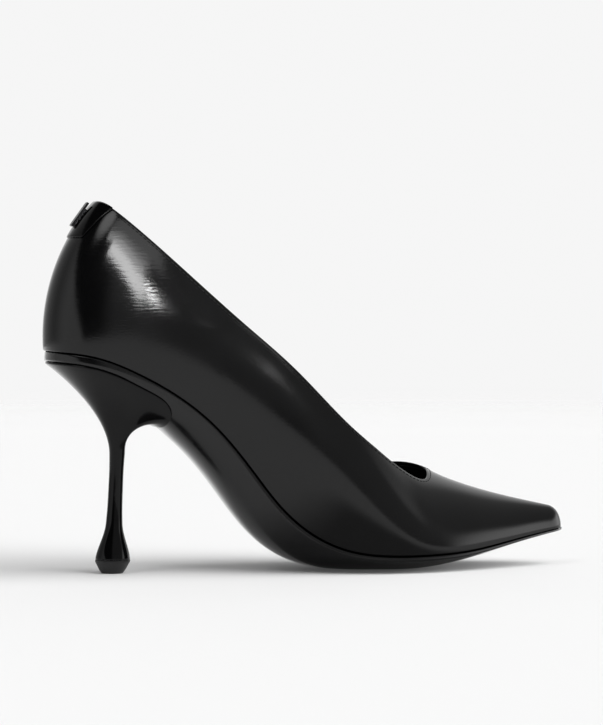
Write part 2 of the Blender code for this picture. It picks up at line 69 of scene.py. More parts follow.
# Driving sizes of the last, in millimetres
LENGTH = 231.0
BALL_HALF = 35.5
HEEL_HEIGHT = 95.0
GAP = 0.3
HEEL_POWER = 2.35
UPPER_TIP = LENGTH - 1.0
NOSE = 6.0
NOSE_POWER = 2.5

# The bottom of the last. along: share of LENGTH. height: of the feather edge, where upper and sole meet, as
# a share of HEEL_HEIGHT. edge: thickness of the sole's edge. crown, power: swell of the underside, and
# how flat that is
Bottom = namedtuple("Bottom", "along height edge crown power")
BOTTOM = (
    Bottom(0.000, 1.000, 3.9, 2.0, 4.5),
    Bottom(0.080, 0.972, 3.4, 2.5, 4.5),
    Bottom(0.155, 0.901, 2.6, 4.2, 3.6),
    Bottom(0.235, 0.792, 2.2, 11.0, 1.3),
    Bottom(0.305, 0.653, 2.2, 12.5, 1.0),
    Bottom(0.365, 0.480, 2.2, 12.5, 1.0),
    Bottom(0.420, 0.306, 2.2, 12.6, 1.0),
    Bottom(0.480, 0.175, 2.2, 11.2, 1.0),
    Bottom(0.540, 0.106, 2.2, 7.9, 1.0),
    Bottom(0.610, 0.079, 2.2, 5.7, 1.0),
    Bottom(0.690, 0.078, 2.1, 5.6, 1.0),
    Bottom(0.780, 0.090, 1.8, 3.8, 1.0),
    Bottom(0.890, 0.133, 1.4, 1.5, 1.0),
    Bottom(1.000, 0.174, 1.0, 0.6, 1.0),
)

# Cross-sections of the upper. lateral, medial: half widths, as shares of BALL_HALF. ridge: height of the
# last's top line, as a share of HEEL_HEIGHT. shift: how far the ridge lies to the inner side. lean: degrees
# that the wall leaves the sole outwards. rise, crown: how long the wall stays upright, and how
# broad the top is
Section = namedtuple("Section", "along lateral medial ridge shift lean rise crown")
SECTIONS = (
    Section(0.156, 0.710, 0.710, 1.737, 0.0, 4.0, 0.50, 0.95),
    Section(0.260, 0.662, 0.640, 1.632, 0.0, 7.0, 0.46, 0.90),
    Section(0.360, 0.648, 0.590, 1.440, 1.0, 11.0, 0.52, 0.86),
    Section(0.460, 0.746, 0.690, 1.180, 2.0, 13.5, 0.63, 0.84),
    Section(0.560, 0.915, 0.890, 0.880, 3.0, 14.5, 0.62, 0.74),
    Section(0.640, 1.000, 0.990, 0.635, 3.0, 11.0, 0.55, 0.60),
    Section(0.710, 0.944, 0.986, 0.484, 3.0, 8.0, 0.45, 0.50),
    Section(0.800, 0.732, 0.803, 0.381, 2.5, 8.0, 0.47, 0.50),
    Section(0.890, 0.468, 0.513, 0.318, 1.5, 7.0, 0.48, 0.52),
    Section(0.960, 0.254, 0.273, 0.279, 0.5, 5.0, 0.50, 0.55),
    Section(1.000, 0.140, 0.140, 0.257, 0.0, 4.0, 0.50, 0.55),
)
AXIS = SECTIONS[0].along * LENGTH
HEEL_HALF = SECTIONS[0].lateral * BALL_HALF
Back = namedtuple("Back", "lean rise crown")
BACK = Back(4.0, 0.55, 0.40)

# The topline seen from the side, and the throat where it turns over the vamp. across: 0 at the outer
# feather edge, 1 at the ridge, 2 at the inner feather edge
Topline = namedtuple("Topline", "along height")
TOPLINE = (
    Topline(0.080, 1.652),
    Topline(0.094, 1.666),
    Topline(0.108, 1.654),
    Topline(0.121, 1.628),
    Topline(0.188, 1.485),
    Topline(0.275, 1.298),
    Topline(0.363, 1.108),
    Topline(0.452, 0.911),
    Topline(0.543, 0.680),
    Topline(0.594, 0.575),
    Topline(0.614, 0.537),
    Topline(0.640, 0.487),
)
Throat = namedtuple("Throat", "along across")
THROAT = (
    Throat(0.6615, 0.553),
    Throat(0.6845, 0.583),
    Throat(0.6995, 0.615),
    Throat(0.7110, 0.665),
    Throat(0.7193, 0.742),
    Throat(0.7253, 0.843),
    Throat(0.7279, 0.935),
    Throat(0.7240, 1.010),
    Throat(0.7160, 1.080),
    Throat(0.7070, 1.145),
    Throat(0.6963, 1.217),
    Throat(0.6838, 1.296),
    Throat(0.6668, 1.374),
)
THROAT_JOIN = 0.63 * LENGTH
THROAT_LEAD = 8.0

# The upper's leather and lining: thickness, how far the lining's edge stays below the topline and its foot
# above the sole, as a share of the wall, and the tuck at the sole. Between the distances of TIP_BLEND from
# the tip, walls come to thicken towards the toe's axis, by TIP_DEPTH of the way at most
LEATHER = 1.2
LINING = 0.4
LINING_DROP = 1.5
LINING_FOOT = 0.02
TUCK = 0.9
TIP_BLEND = (30.0, 12.0)
TIP_DEPTH = 0.6

# Creases of the upper. along, up: middle, in millimetres from the heel's back and from the
# feather edge. length, width, depth: of the soft trough. slant: degrees from level, rising to the toe
Crease = namedtuple("Crease", "along up length width slant depth")
CREASES = (
    Crease(158.0, 17.0, 16.0, 4.5, -62.0, 0.04),
    Crease(140.0, 22.0, 22.0, 6.0, -48.0, 0.02),
    Crease(62.0, 33.0, 30.0, 5.0, -38.0, 0.02),
    Crease(52.0, 44.0, 26.0, 4.0, -30.0, 0.02),
)

# Columns of the upper fan out to the toe in front of TOE_START. TOE_SHARE: how much of the fan ends on the
# feather edge, the rest ending at the tip. TOE_SPREAD: the cubic that spaces those columns along that edge
TOE_START = 110.0
TOE_SHARE = 0.72
TOE_SPREAD = (0.36, 2.13, -1.49)

# Stitches: columns of the heel's fan that the seam runs over at each end, and how blunt a stitch ends
SEAM_END = 12
STITCH_POWER = 2.6

# Sole and insole. The powers say how sharply the sole's edge and the insole's rim round off
SOLE_MARGIN = 0.6
SOLE_BACK = 0.8
SOLE_TIP = UPPER_TIP + 0.3
SOLE_HOLLOW = 0.7
SOLE_BEVEL = 0.2
EDGE_POWER = 5
INSOLE_THICK = 1.5
INSOLE_INSET = 2.2
INSOLE_TOE = 8.0
INSOLE_POWER = 6

# Heel: the seat's outline on the sole, and how the flare leaves it at the back, the sides and the front
RIM_CENTRE = 33.0
RIM_BACK = 31.6
RIM_SIDE = 24.6
RIM_FRONT = 26.0
RIM_FRONT_POWER = 5.0
BREAST_DENT = 0.14
BREAST_POWER = 4
LIP = 0.8
SEAT_CLEAR = 5.0
Flare = namedtuple("Flare", "dip leave arrive")
FLARE_BACK = Flare(33.0, 7.0, 17.0)
FLARE_SIDE = Flare(45.0, 7.0, 16.0)
FLARE_FRONT = Flare(-30.0, 8.0, 11.0)

# The stem and the drop: height above the floor and radius
Drop = namedtuple("Drop", "height radius")
DROP = (
    Drop(51.0, 3.35),
    Drop(44.0, 3.10),
    Drop(36.0, 3.12),
    Drop(28.0, 3.25),
    Drop(22.5, 3.50),
    Drop(19.0, 3.85),
    Drop(16.0, 4.60),
    Drop(12.8, 5.65),
    Drop(9.8, 6.65),
    Drop(7.4, 7.25),
    Drop(6.0, 7.45),
)
TOP_PIECE = (
    Drop(5.7, 7.45),
    Drop(5.2, 7.50),
    Drop(3.9, 6.95),
    Drop(2.2, 6.05),
    Drop(0.5, 5.00),
    Drop(0.0, 4.60),
)
STEM_FOOT = 29.15
STEM_TILT = 0.0447

# Back trim: a leather patch round the top of the counter, thinned to TAB_CUT at its edge over TAB_ROUND
# rows, a small bar on it, and the bar's foot, whose ends lie along the bar from its middle
TAB_THICK = 0.4
TAB_CUT = 0.55
TAB_ROUND = 2
TAB_FOOT = 143.0
TAB_FOOT_ANGLE = 30.0
TAB_TOP_ANGLE = 58.0
TAB_SIDE = 0.93
BAR_LENGTH = 12.3
BAR_WIDTH = 5.5
BAR_THICK = 1.1
BAR_TILT = 36.0
BAR_POWER = 6
BAR_END_POWER = 10
FOOT_WIDTH = 3.9
FOOT_ENDS = (-5.8, 3.4)
FOOT_SINK = 0.15

# Where the hide is wrinkled: in metres, the places along and up the shoe between which the wrinkles fade
QUARTER_X = (-0.066, -0.04)
QUARTER_Z = (0.1, 0.114)

# Softboxes on one upright plane beside the quarter, rolled with its topline, that light LEATHER_PIECES
# alone. along, above: of a panel's middle from PANEL_PLACE, in metres. length, height: of the panel. share:
# of the key's brightness
PANEL_PLACE = (-0.122, -0.25, 0.228)
PANEL_ROLL = -34.7
Panel = namedtuple("Panel", "name along above length height share")
PANELS = (
    Panel("strip", 0.014, -0.003, 0.236, 0.042, 1.0),
    Panel("veil", -0.04, 0.032, 0.32, 0.028, 0.45),
    Panel("haze", -0.0425, 0.057, 0.345, 0.032, 0.2),
    Panel("wash", -0.036, 0.12, 0.388, 0.10, 0.085),
)
LEATHER_PIECES = ("calf_upper", "calf_back_tab")

# The spot for the tail of the quarter's highlight, and the sun on the floor: places and sizes in metres,
# angles in degrees
TAIL_PLACE = (0.013, -0.25, 0.151)
TAIL_TARGET = (-0.062, -0.025, 0.128)
TAIL_SIZE = (0.046, 0.022)
TAIL_SPREAD = 6.5
TAIL_SHARE = 0.0075
SUN_PLACE = (1.0, -0.6, 1.0)
SUN_ANGLE = 70.0

# The floor, in metres, its rings and its fade as shares of the radius. A dark sheet on it, seen in
# reflections alone, is painted shade of the floor next to the shoe: its sides, its height, where it fades
# at its back, front and near sides, and how much it covers
FLOOR_RADIUS = 2.2
FLOOR_RINGS = (0, 0.1, 0.3, 0.6, 1.0)
FLOOR_SIDES = 96
FLOOR_DROP = 0.0001
FLOOR_FADE = (0.55, 0.95)
FLOOR_SHADE_X = (-0.07, 0.13)
FLOOR_SHADE_Y = (-0.21, -0.005)
FLOOR_SHADE_LIFT = 0.0005
FLOOR_SHADE_BACK = (-0.06, -0.01)
FLOOR_SHADE_FRONT = (0.06, 0.12)
FLOOR_SHADE_NEAR = (-0.2, -0.1)
FLOOR_SHADE_COVER = 0.7

# The picture's size in pixels, the size of one at the target and the target on the last, both in
# millimetres, and the target's place in the picture
PICTURE = (603, 725)
PIXEL = 0.4325
TARGET = (113.5, 0.0, 80.0)
TARGET_PIXEL = (303.567, 384.106)
SENSOR = 36.0
CLIP = 30.0

# Fineness of the meshes. step: between places along a sheet, in millimetres. heel, toe: how many places lie
# in its rounded ends. across: points over its width
Grid = namedtuple("Grid", "step heel toe across")
SOLE_GRID = Grid(1.5, 40, 28, 57)
INSOLE_GRID = Grid(2.0, 30, 14, 41)
EDGE_ROWS = 9
WALL_ROWS = 60
TUCK_ROWS = 6
RIM_ROWS = 9
INNER_ROWS = 30
SIDE_COLUMNS = 190
FAN_COLUMNS = 90
STITCH_ROWS = 9
STITCH_SIDES = 8
HEEL_SIDES = 200
SEAT_ROWS = 17
FLARE_ROWS = 70
STEM_ROWS = 90
TOP_PIECE_SIDES = 96
TOP_PIECE_ROWS = 30
TAB_ROWS = 28
TAB_COLUMNS = 97
BAR_ROWS = 41
BAR_SIDES = 64
FOOT_SAMPLES = 60
TOPLINE_SAMPLES = 300
THROAT_SAMPLES = 800
RIM_SAMPLES = 2001
FINE = np.linspace(0, 1, 401)


# Curves and surfaces of the last


def smooth_line(xs, ys, level_start=False):
    """A cubic spline through the points, level or unbent at its start, and straight beyond its ends."""
    xs = np.asarray(xs, float)
    ys = np.asarray(ys, float)
    steps = np.diff(xs)
    slopes = np.diff(ys) / steps
    count = len(xs)
    matrix = np.eye(count)
    right = np.zeros(count)
    for i in range(1, count - 1):
        matrix[i, i - 1 : i + 2] = steps[i - 1], 2 * (steps[i - 1] + steps[i]), steps[i]
        right[i] = 6 * (slopes[i] - slopes[i - 1])
    if level_start:
        matrix[0, :2] = 2 * steps[0], steps[0]
        right[0] = 6 * slopes[0]
    bends = np.linalg.solve(matrix, right)
    starts = slopes - steps * (2 * bends[:-1] + bends[1:]) / 6
    end_slope = slopes[-1] + steps[-1] * (bends[-2] + 2 * bends[-1]) / 6

    def value(x):
        x = np.asarray(x, float)
        inside = np.clip(x, xs[0], xs[-1])
        i = np.clip(np.searchsorted(xs, inside, side="right") - 1, 0, count - 2)
        t = inside - xs[i]
        curve = ys[i] + t * (starts[i] + t * (bends[i] / 2 + t * (bends[i + 1] - bends[i]) / (6 * steps[i])))
        before, after = np.minimum(x - xs[0], 0), np.maximum(x - xs[-1], 0)
        return curve + starts[0] * before + end_slope * after

    return value


def column(rows, name, scale=1.0, level_start=False):
    """The spline of one named column of a table along the shoe."""
    return smooth_line(
        [row.along * LENGTH for row in rows], [getattr(row, name) * scale for row in rows], level_start
    )


feather = column(BOTTOM, "height", HEEL_HEIGHT)
sole_edge = column(BOTTOM, "edge")
sole_crown = column(BOTTOM, "crown")
sole_power = column(BOTTOM, "power")
lateral_half = column(SECTIONS, "lateral", BALL_HALF, True)
medial_half = column(SECTIONS, "medial", BALL_HALF, True)
ridge_height = column(SECTIONS, "ridge", HEEL_HEIGHT, True)
ridge_shift = column(SECTIONS, "shift", 1.0, True)
wall_lean = column(SECTIONS, "lean", 1.0, True)
wall_rise = column(SECTIONS, "rise", 1.0, True)
wall_crown = column(SECTIONS, "crown", 1.0, True)
topline = column(TOPLINE, "height", HEEL_HEIGHT)


def ease(value, low, high):
    """0 below low, 1 above high, and an S-shaped cubic between them."""
    t = np.clip((value - low) / (high - low), 0, 1)
    return t * t * (3 - 2 * t)


def unit(vectors):
    """Vectors scaled to length 1."""
    return vectors / np.maximum(np.linalg.norm(vectors, axis=-1, keepdims=True), 1e-9)


def way_along(points):
    """Distance along a line of points, from its first."""
    return np.concatenate([[0], np.cumsum(np.linalg.norm(np.diff(points, axis=0), axis=1))])


def nose(x, end=UPPER_TIP):
    """1 along the shoe, falling to 0 at the tip as a superellipse, as the last's nose rounds off."""
    t = np.clip((np.asarray(x, float) - (end - NOSE)) / NOSE, 0, 1)
    return (1 - t**NOSE_POWER) ** (1 / NOSE_POWER)


def cubic_weights(t):
    """The four weights of a cubic Bezier curve."""
    return (1 - t) ** 3, 3 * t * (1 - t) ** 2, 3 * t * t * (1 - t), t**3


def wall_curve(foot, foot_z, top_z, lean, rise, crown, u):
    """One wall from the feather edge (u 0) to the ridge (u 1): a cubic that leaves the sole with the wall's
    lean and arrives level at the top. Returns the distance out from the ridge and the height."""
    height = top_z - foot_z
    bulge = foot + rise * height * np.tan(np.radians(lean))
    b0, b1, b2, b3 = cubic_weights(u)
    out = b0 * foot + b1 * bulge + b2 * crown * foot
    z = b0 * foot_z + b1 * (foot_z + rise * height) + (b2 + b3) * top_z
    return out, z


def section_point(x, across):
    """A point of the upper in front of the heel: the wall curve of that place along the shoe, on the outer
    side for across from 0 to 1 and on the inner side from 1 to 2."""
    x, across = np.broadcast_arrays(np.asarray(x, float), np.asarray(across, float))
    inner = across > 1
    k = nose(x)
    shift = ridge_shift(x)
    foot = np.where(inner, medial_half(x) - shift, lateral_half(x) + shift) * k
    foot_z = feather(x)
    top_z = foot_z + (ridge_height(x) - foot_z) * k
    u = np.where(inner, 2 - across, across)
    out, z = wall_curve(foot, foot_z, top_z, wall_lean(x), wall_rise(x), wall_crown(x), u)
    return np.stack([x, shift * k + np.where(inner, out, -out), z], axis=-1)


def heel_point(angle, u):
    """A point of the upper round the heel: the wall curve turned about an upright axis on a superellipse.
    angle is 0 on the outer side, half pi at the back and pi on the inner side."""
    angle, u = np.broadcast_arrays(np.asarray(angle, float), np.asarray(u, float))
    side, back = np.cos(angle), np.sin(angle)
    foot = (np.abs(side / HEEL_HALF) ** HEEL_POWER + np.abs(back / AXIS) ** HEEL_POWER) ** (-1 / HEEL_POWER)
    turn = back**2
    first = SECTIONS[0]
    out, z = wall_curve(
        foot,
        feather(AXIS - foot * back),
        ridge_height(AXIS),
        first.lean + (BACK.lean - first.lean) * turn,
        first.rise + (BACK.rise - first.rise) * turn,
        first.crown + (BACK.crown - first.crown) * turn,
        u,
    )
    return np.stack([AXIS - out * back, -out * side, z], axis=-1)


def height_at(points, wanted):
    """The parameter from 0 to 1 at which each wall of a grid of points (wall, step, xyz) reaches a wanted
    height, a function of x."""
    over = points[..., 2] - wanted(points[..., 0])
    first = np.argmax(over > 0, axis=1)
    rows = np.arange(len(points))
    low, high = over[rows, first - 1], over[rows, first]
    return (first - 1 + low / (low - high)) / (points.shape[1] - 1)


def side_edge(x, inner):
    """across on the topline behind the throat, where the outer or inner wall reaches the line."""
    reach = 2 - FINE if inner else FINE
    u = height_at(section_point(x[:, None], reach[None]), topline)
    return 2 - u if inner else u


def heel_edge(angle):
    """u on the topline round the heel."""
    return height_at(heel_point(angle[:, None], FINE[None]), topline)


def throat_edge():
    """The edge of the throat from the outer to the inner topline: places along the shoe and across."""
    ends = THROAT_JOIN - np.array([THROAT_LEAD, 0.0])
    along = np.array([row.along * LENGTH for row in THROAT])
    across = np.array([row.across for row in THROAT])
    along = np.concatenate([ends, along, ends[::-1]])
    across = np.concatenate([side_edge(ends, False), across, side_edge(ends, True)[::-1]])
    way = np.concatenate([[0], np.cumsum(np.hypot(np.diff(along), BALL_HALF * np.diff(across)))])
    fine = np.linspace(0, way[-1], THROAT_SAMPLES)
    return smooth_line(way, along)(fine), smooth_line(way, across)(fine)


THROAT_ALONG, THROAT_ACROSS = throat_edge()
FRONT = int(np.argmax(THROAT_ALONG))
THROAT_SPLIT = THROAT_ACROSS[FRONT]


def outline(s, margin, back, front):
    """Half widths of the last's outline at s to the outer and the inner side, grown by a margin and rounded
    at its back and front ends as superellipses."""
    heel = np.clip((AXIS - s) / (AXIS - back), 0, 1)
    ends = (1 - heel**HEEL_POWER) ** (1 / HEEL_POWER) * nose(s, front)
    x = np.maximum(s, AXIS)
    return (lateral_half(x) + margin) * ends, (medial_half(x) + margin) * ends


def below_feather(s, y, depth):
    """A point a depth below the feather edge's side view, square to its slope, never under the floor."""
    slope = (feather(s + SMALL) - feather(s - SMALL)) / (2 * SMALL)
    stretch = np.sqrt(1 + slope**2)
    z = np.maximum(feather(s) - depth / stretch, 0)
    return np.stack(np.broadcast_arrays(s + slope / stretch * depth, y, z), axis=-1)


def swell(s, y, power):
    """How much of the sole's crown is reached: 0 at the sole's outline, 1 on its middle line."""
    heel = np.clip((AXIS - s) / (AXIS - SOLE_BACK), 0, 1)
    x = np.maximum(s, AXIS)
    half = np.where(y > 0, medial_half(x), lateral_half(x)) + SOLE_MARGIN
    share = (np.abs(y) / (half * np.maximum(nose(s, SOLE_TIP), SMALL))) ** HEEL_POWER + heel**HEEL_POWER
    return 1 - np.clip(share, 0, 1) ** power


def underside(s, y, gap=0.0):
    """A point of the sole's rounded underside, or a gap below it."""
    return below_feather(s, y, sole_edge(s) + sole_crown(s) * swell(s, y, sole_power(s)) + gap)


def sole_top(s, y, lift=0.0):
    """A point of the sole's hollow upper face, or a lift above it."""
    return below_feather(s, y, GAP + SOLE_HOLLOW * sole_crown(s) * swell(s, y, 1) - lift)


def stations(back, front, grid):
    """Places along the shoe in even steps, drawn together where the outline rounds off at its ends."""
    heel = AXIS - (AXIS - back) * np.cos(np.linspace(SMALL, math.pi / 2, grid.heel))
    middle = np.arange(AXIS + grid.step, front - NOSE - grid.step / 2, grid.step)
    toe = front - NOSE + NOSE * np.sin(np.linspace(0, math.pi / 2 - SMALL, grid.toe))
    return np.concatenate([heel, middle, toe])[:, None]


def spread(outer, inner, count):
    """Shares from -1 to 1 across the shoe, closer at both edges, and their places for two half widths."""
    across = np.sin(np.linspace(-math.pi / 2, math.pi / 2, count))[None]
    return across, np.where(across < 0, outer, inner) * across


# Meshes


def quads(rows, columns, close_rows=False, close_columns=False):
    """Corner numbers of the quads of a grid of points counted row by row."""
    r = np.arange(rows if close_rows else rows - 1)[:, None]
    c = np.arange(columns if close_columns else columns - 1)
    s, d = (r + 1) % rows, (c + 1) % columns
    corners = (r * columns + c, r * columns + d, s * columns + d, s * columns + c)
    return np.stack(corners, axis=-1).reshape(-1, 4)


def ring_faces(rings, folded=False):
    """Quads of a stack of closed rings, whose last ring may join the first."""
    return quads(*rings.shape[:2], folded, True)


def add_object(name, data):
    """A new object in the scene."""
    item = bpy.data.objects.new(name, data)
    bpy.context.scene.collection.objects.link(item)
    return item


def add_piece(name, points, faces, material, replaced=()):
    """An object from points in millimetres on the last: doubles merged, faces turned outwards, smooth,
    riding on the shoe's one body."""
    places = (np.asarray(points, float).reshape(-1, 3) - (LENGTH / 2, 0, 0)) * MM
    mesh = bpy.data.meshes.new(name)
    mesh.from_pydata(places.tolist(), [], np.asarray(faces).tolist())
    shape = bmesh.new()
    shape.from_mesh(mesh)
    bmesh.ops.remove_doubles(shape, verts=shape.verts, dist=MERGE * MM)
    bmesh.ops.recalc_face_normals(shape, faces=shape.faces)
    shape.to_mesh(mesh)
    shape.free()
    mesh.shade_smooth()
    mesh.materials.append(material)
    piece = add_object(name, mesh)
    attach(piece, "root")
    if replaced:
        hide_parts(*replaced)


def ring_normals(points):
    """Outward normals of a grid of closed rings: the cross product of the steps up and along the wall."""
    along = np.roll(points, -1, axis=1) - np.roll(points, 1, axis=1)
    up = np.gradient(points, axis=0)
    out = unit(np.cross(up, along))
    out[0] = out[1]
    return out


def side_columns(inner):
    """Columns of the upper's outer or inner side, from the throat's front back to the heel's axis. Each
    runs straight in along and across from its foot to the topline: upright behind TOE_START, and fanned out
    in front of it so that the last one is the ridge from the tip to the throat."""
    half = slice(FRONT, None) if inner else slice(FRONT, None, -1)
    back = np.linspace(THROAT_JOIN - THROAT_LEAD, AXIS, TOPLINE_SAMPLES)[1:]
    along = np.concatenate([THROAT_ALONG[half], back])
    across = np.concatenate([THROAT_ACROSS[half], side_edge(back, inner)])
    way = way_along(section_point(along, across))
    even = np.linspace(0, way[-1], SIDE_COLUMNS)
    top_along, top_across = np.interp(even, way, along), np.interp(even, way, across)
    fan = np.clip(1 - even / np.interp(-TOE_START, -along, way), 0, 1)
    t = np.clip(fan / TOE_SHARE, 0, 1)
    reach = t * (TOE_SPREAD[0] + t * (TOE_SPREAD[1] + t * TOE_SPREAD[2]))
    foot_along = np.where(fan > 0, TOE_START + (UPPER_TIP - TOE_START) * reach, top_along)
    climb = np.clip((fan - TOE_SHARE) / (1 - TOE_SHARE), 0, 1)
    foot_across = 2 - (2 - THROAT_SPLIT) * climb if inner else THROAT_SPLIT * climb
    return top_along, top_across, foot_along, foot_across, t * t


def upper_grid(v, shrink=0.0):
    """The upper's outer face: rows v from the feather edge (0) to the topline (1), columns in a ring from
    the throat's front round the outer side, the heel and the inner side. shrink lowers the topline by a
    share of each column."""
    parts = []
    fan_angles = np.linspace(0, math.pi, FAN_COLUMNS + 2)[1:-1]
    counts = np.cumsum([SIDE_COLUMNS, FAN_COLUMNS])
    shrink = np.broadcast_to(shrink, (2 * SIDE_COLUMNS + FAN_COLUMNS - 1,))
    for inner, cut in ((False, shrink[: counts[0]]), (True, shrink[counts[1] - 1 :][::-1])):
        top_along, top_across, foot_along, foot_across, toe = side_columns(inner)
        rows = v[:, None] * (1 - cut)
        g = rows * (1 - toe) + (1 - np.cos(rows * math.pi / 2)) * toe
        along = foot_along + (top_along - foot_along) * g
        parts.append(section_point(along, foot_across + (top_across - foot_across) * g))
    fan = heel_point(fan_angles, heel_edge(fan_angles) * v[:, None] * (1 - shrink[counts[0] : counts[1]]))
    return np.concatenate([parts[0], fan, parts[1][:, :0:-1]], axis=1)


def toe_axis(points):
    """The point inside the toe that a wall near the tip is thickened towards: behind it, halfway up."""
    x = np.minimum(points[..., 0] - NOSE / 2, UPPER_TIP - NOSE)
    return np.stack([x, ridge_shift(x), (feather(x) + ridge_height(x)) / 2], axis=-1)


def inward(points, normals, depth):
    """Points moved into the wall by a depth: against the normal, and near the tip towards the toe's own
    axis, where the rounding is tighter than the wall is thick."""
    to_axis = toe_axis(points) - points
    far = np.linalg.norm(to_axis, axis=-1, keepdims=True)
    axial = to_axis * np.minimum(depth / far, TIP_DEPTH)
    near_tip = ease(points[..., :1], UPPER_TIP - TIP_BLEND[0], UPPER_TIP - TIP_BLEND[1])
    return points + (1 - near_tip) * -normals * depth + near_tip * axial


def crease_depth(points):
    """How far the upper's face sinks at each point: the sum of the creases, each a Gaussian trough across
    its line that fades out towards both ends."""
    up = points[..., 2] - feather(points[..., 0])
    depth = np.zeros(points.shape[:-1])
    for crease in CREASES:
        slant = math.radians(crease.slant)
        dx, dz = points[..., 0] - crease.along, up - crease.up
        along = dx * math.cos(slant) + dz * math.sin(slant)
        across = dz * math.cos(slant) - dx * math.sin(slant)
        depth += crease.depth * np.exp(-((2 * along / crease.length) ** 2) - (2 * across / crease.width) ** 2)
    return depth


def rim_frame(points):
    """For the top row of a ring grid: its normals, and the way out over the edge."""
    along = unit(np.roll(points[-1], -1, axis=0) - np.roll(points[-1], 1, axis=0))
    normal = ring_normals(points)[-1]
    over = unit(np.cross(normal, along))
    return normal, over * np.sign(np.sum(over * (points[-1] - points[-2]), axis=-1, keepdims=True))


def folded_wall(v, thick, lower=0.0, depth=0.0):
    """A wall in three stacks of rings: up the outer face, over a half-round edge and down the inner face.
    lower is how far the edge stays below the topline, and depth how far the wall lies inside the upper's
    own face, whose normals come last."""
    whole = upper_grid(v)
    over = rim_frame(whole)[1]
    step = np.sum((whole[-1] - whole[-2]) * over, axis=-1) / (v[-1] - v[-2])
    face = upper_grid(v, (lower + thick / 2) / step)
    normals = ring_normals(face)
    normal, over = rim_frame(face)
    bend = np.linspace(0, math.pi, RIM_ROWS)[1:-1, None, None]
    edge = face[-1] - normal * (depth + (1 - np.cos(bend)) * thick / 2) + over * np.sin(bend) * thick / 2
    rows = np.linspace(len(v) - 1, 0, INNER_ROWS).round().astype(int)
    return inward(face, normals, depth), edge, inward(face[rows], normals[rows], depth + thick), normals


def build_upper(material):
    """The leather shell: a folded wall that stands on the sole, with its tucked foot and its creases."""
    tuck = TUCK * np.linspace(0, 1, TUCK_ROWS) ** 2 / HEEL_HEIGHT
    v = np.concatenate([tuck, np.linspace(tuck[-1], 1, WALL_ROWS)[1:]])
    outer, edge, inner, normals = folded_wall(v, LEATHER)
    up = np.minimum(np.linalg.norm(outer - outer[:1], axis=-1) / TUCK, 1)
    sink = TUCK * (1 - np.sqrt(1 - (1 - up) ** 2)) + crease_depth(outer)
    outer = inward(outer, normals, sink[..., None])
    inner[-1] = sole_top(inner[-1, :, 0], inner[-1, :, 1], SMALL)
    rings = np.concatenate([outer, edge, inner])
    add_piece("calf_upper", rings, ring_faces(rings, True), material, ["upper"])


def build_lining(material):
    """The lining: a thin folded wall inside the leather, its edge just below the topline."""
    v = np.linspace(LINING_FOOT, 1, WALL_ROWS)
    rings = np.concatenate(folded_wall(v, LINING, LINING_DROP, LEATHER + SMALL)[:3])
    add_piece("shell_lining", rings, ring_faces(rings, True), material)


def thread_row(path, normals, pitch, length, radius):
    """Stitches along a line on a surface: half-sunk capsules, one for each pitch of the line. Each is a
    grid of a round section carried along its length, thinned to nothing at both ends as a superellipse."""
    way = way_along(path)
    count = int(way[-1] / pitch)
    middles = (np.arange(count) + 0.5) * way[-1] / count

    def read(values, places):
        return np.stack([np.interp(places, way, values[:, i]) for i in range(3)], axis=-1)

    at = read(path, middles)
    along = unit(read(path, middles + pitch / 4) - at)
    out = unit(read(normals, middles))
    side = np.cross(out, along)
    t = np.linspace(-1, 1, STITCH_ROWS)
    thin = radius * (1 - np.abs(t) ** STITCH_POWER) ** (1 / STITCH_POWER)
    turn = np.linspace(0, 2 * math.pi, STITCH_SIDES, endpoint=False)
    wide, high = (thin[:, None] * wave(turn) for wave in (np.cos, np.sin))
    points = (
        at[:, None, None]
        + along[:, None, None] * (t * length / 2)[:, None, None]
        + side[:, None, None] * wide[..., None]
        + out[:, None, None] * high[..., None]
    )
    one = quads(STITCH_ROWS, STITCH_SIDES, close_columns=True)
    faces = one + (np.arange(count) * STITCH_ROWS * STITCH_SIDES)[:, None, None]
    return points, faces.reshape(-1, 4)


def build_stitches(material, finish):
    """The seam below the topline: stitches at an even inset, all round the edge but for the back."""
    grid = upper_grid(np.linspace(0, 1, WALL_ROWS))
    normal, over = rim_frame(grid)
    seam = grid[-1] - over * finish.stitch_inset / MM
    count = len(seam)
    order = np.arange(SIDE_COLUMNS + FAN_COLUMNS - SEAM_END, count + SIDE_COLUMNS + SEAM_END) % count
    sizes = (size / MM for size in (finish.stitch_pitch, finish.stitch_length, finish.thread_radius))
    points, faces = thread_row(seam[order], normal[order], *sizes)
    add_piece("topline_stitches", points, faces, material)


def build_outsole(material):
    """The sole: rings round it, one for each place along the shoe, over a hollow upper face, a rounded edge
    and a crowned underside."""
    s = stations(SOLE_BACK, SOLE_TIP, SOLE_GRID)
    outer, inner = outline(s, SOLE_MARGIN, SOLE_BACK, SOLE_TIP)
    y = spread(outer, inner, SOLE_GRID.across)[1]
    y = y - np.sign(y) * np.minimum(SOLE_BEVEL, np.abs(y) / 4)
    e = np.linspace(0, 1, EDGE_ROWS)[None, 1:-1]
    drop = GAP + (sole_edge(s) - GAP) * e
    round_off = SOLE_BEVEL * np.abs(2 * e - 1) ** EDGE_POWER
    inner_edge = below_feather(s, np.maximum(inner - round_off, inner / 2), drop)
    outer_edge = below_feather(s, -np.maximum(outer - round_off, outer / 2), drop)[:, ::-1]
    rings = np.concatenate([sole_top(s, y), inner_edge, underside(s, y[:, ::-1]), outer_edge], axis=1)
    add_piece("polished_outsole", rings, capped(rings), material, ["outsole"])


def capped(rings):
    """Quads of a stack of closed rings, both ends closed by joining one half of a ring to the other."""
    rows, count = rings.shape[:2]
    body = ring_faces(rings)
    left = np.arange(count // 2 - 1)
    cap = np.stack([left, left + 1, count - 2 - left, count - 1 - left], axis=-1)
    return np.concatenate([body, cap, cap + (rows - 1) * count])


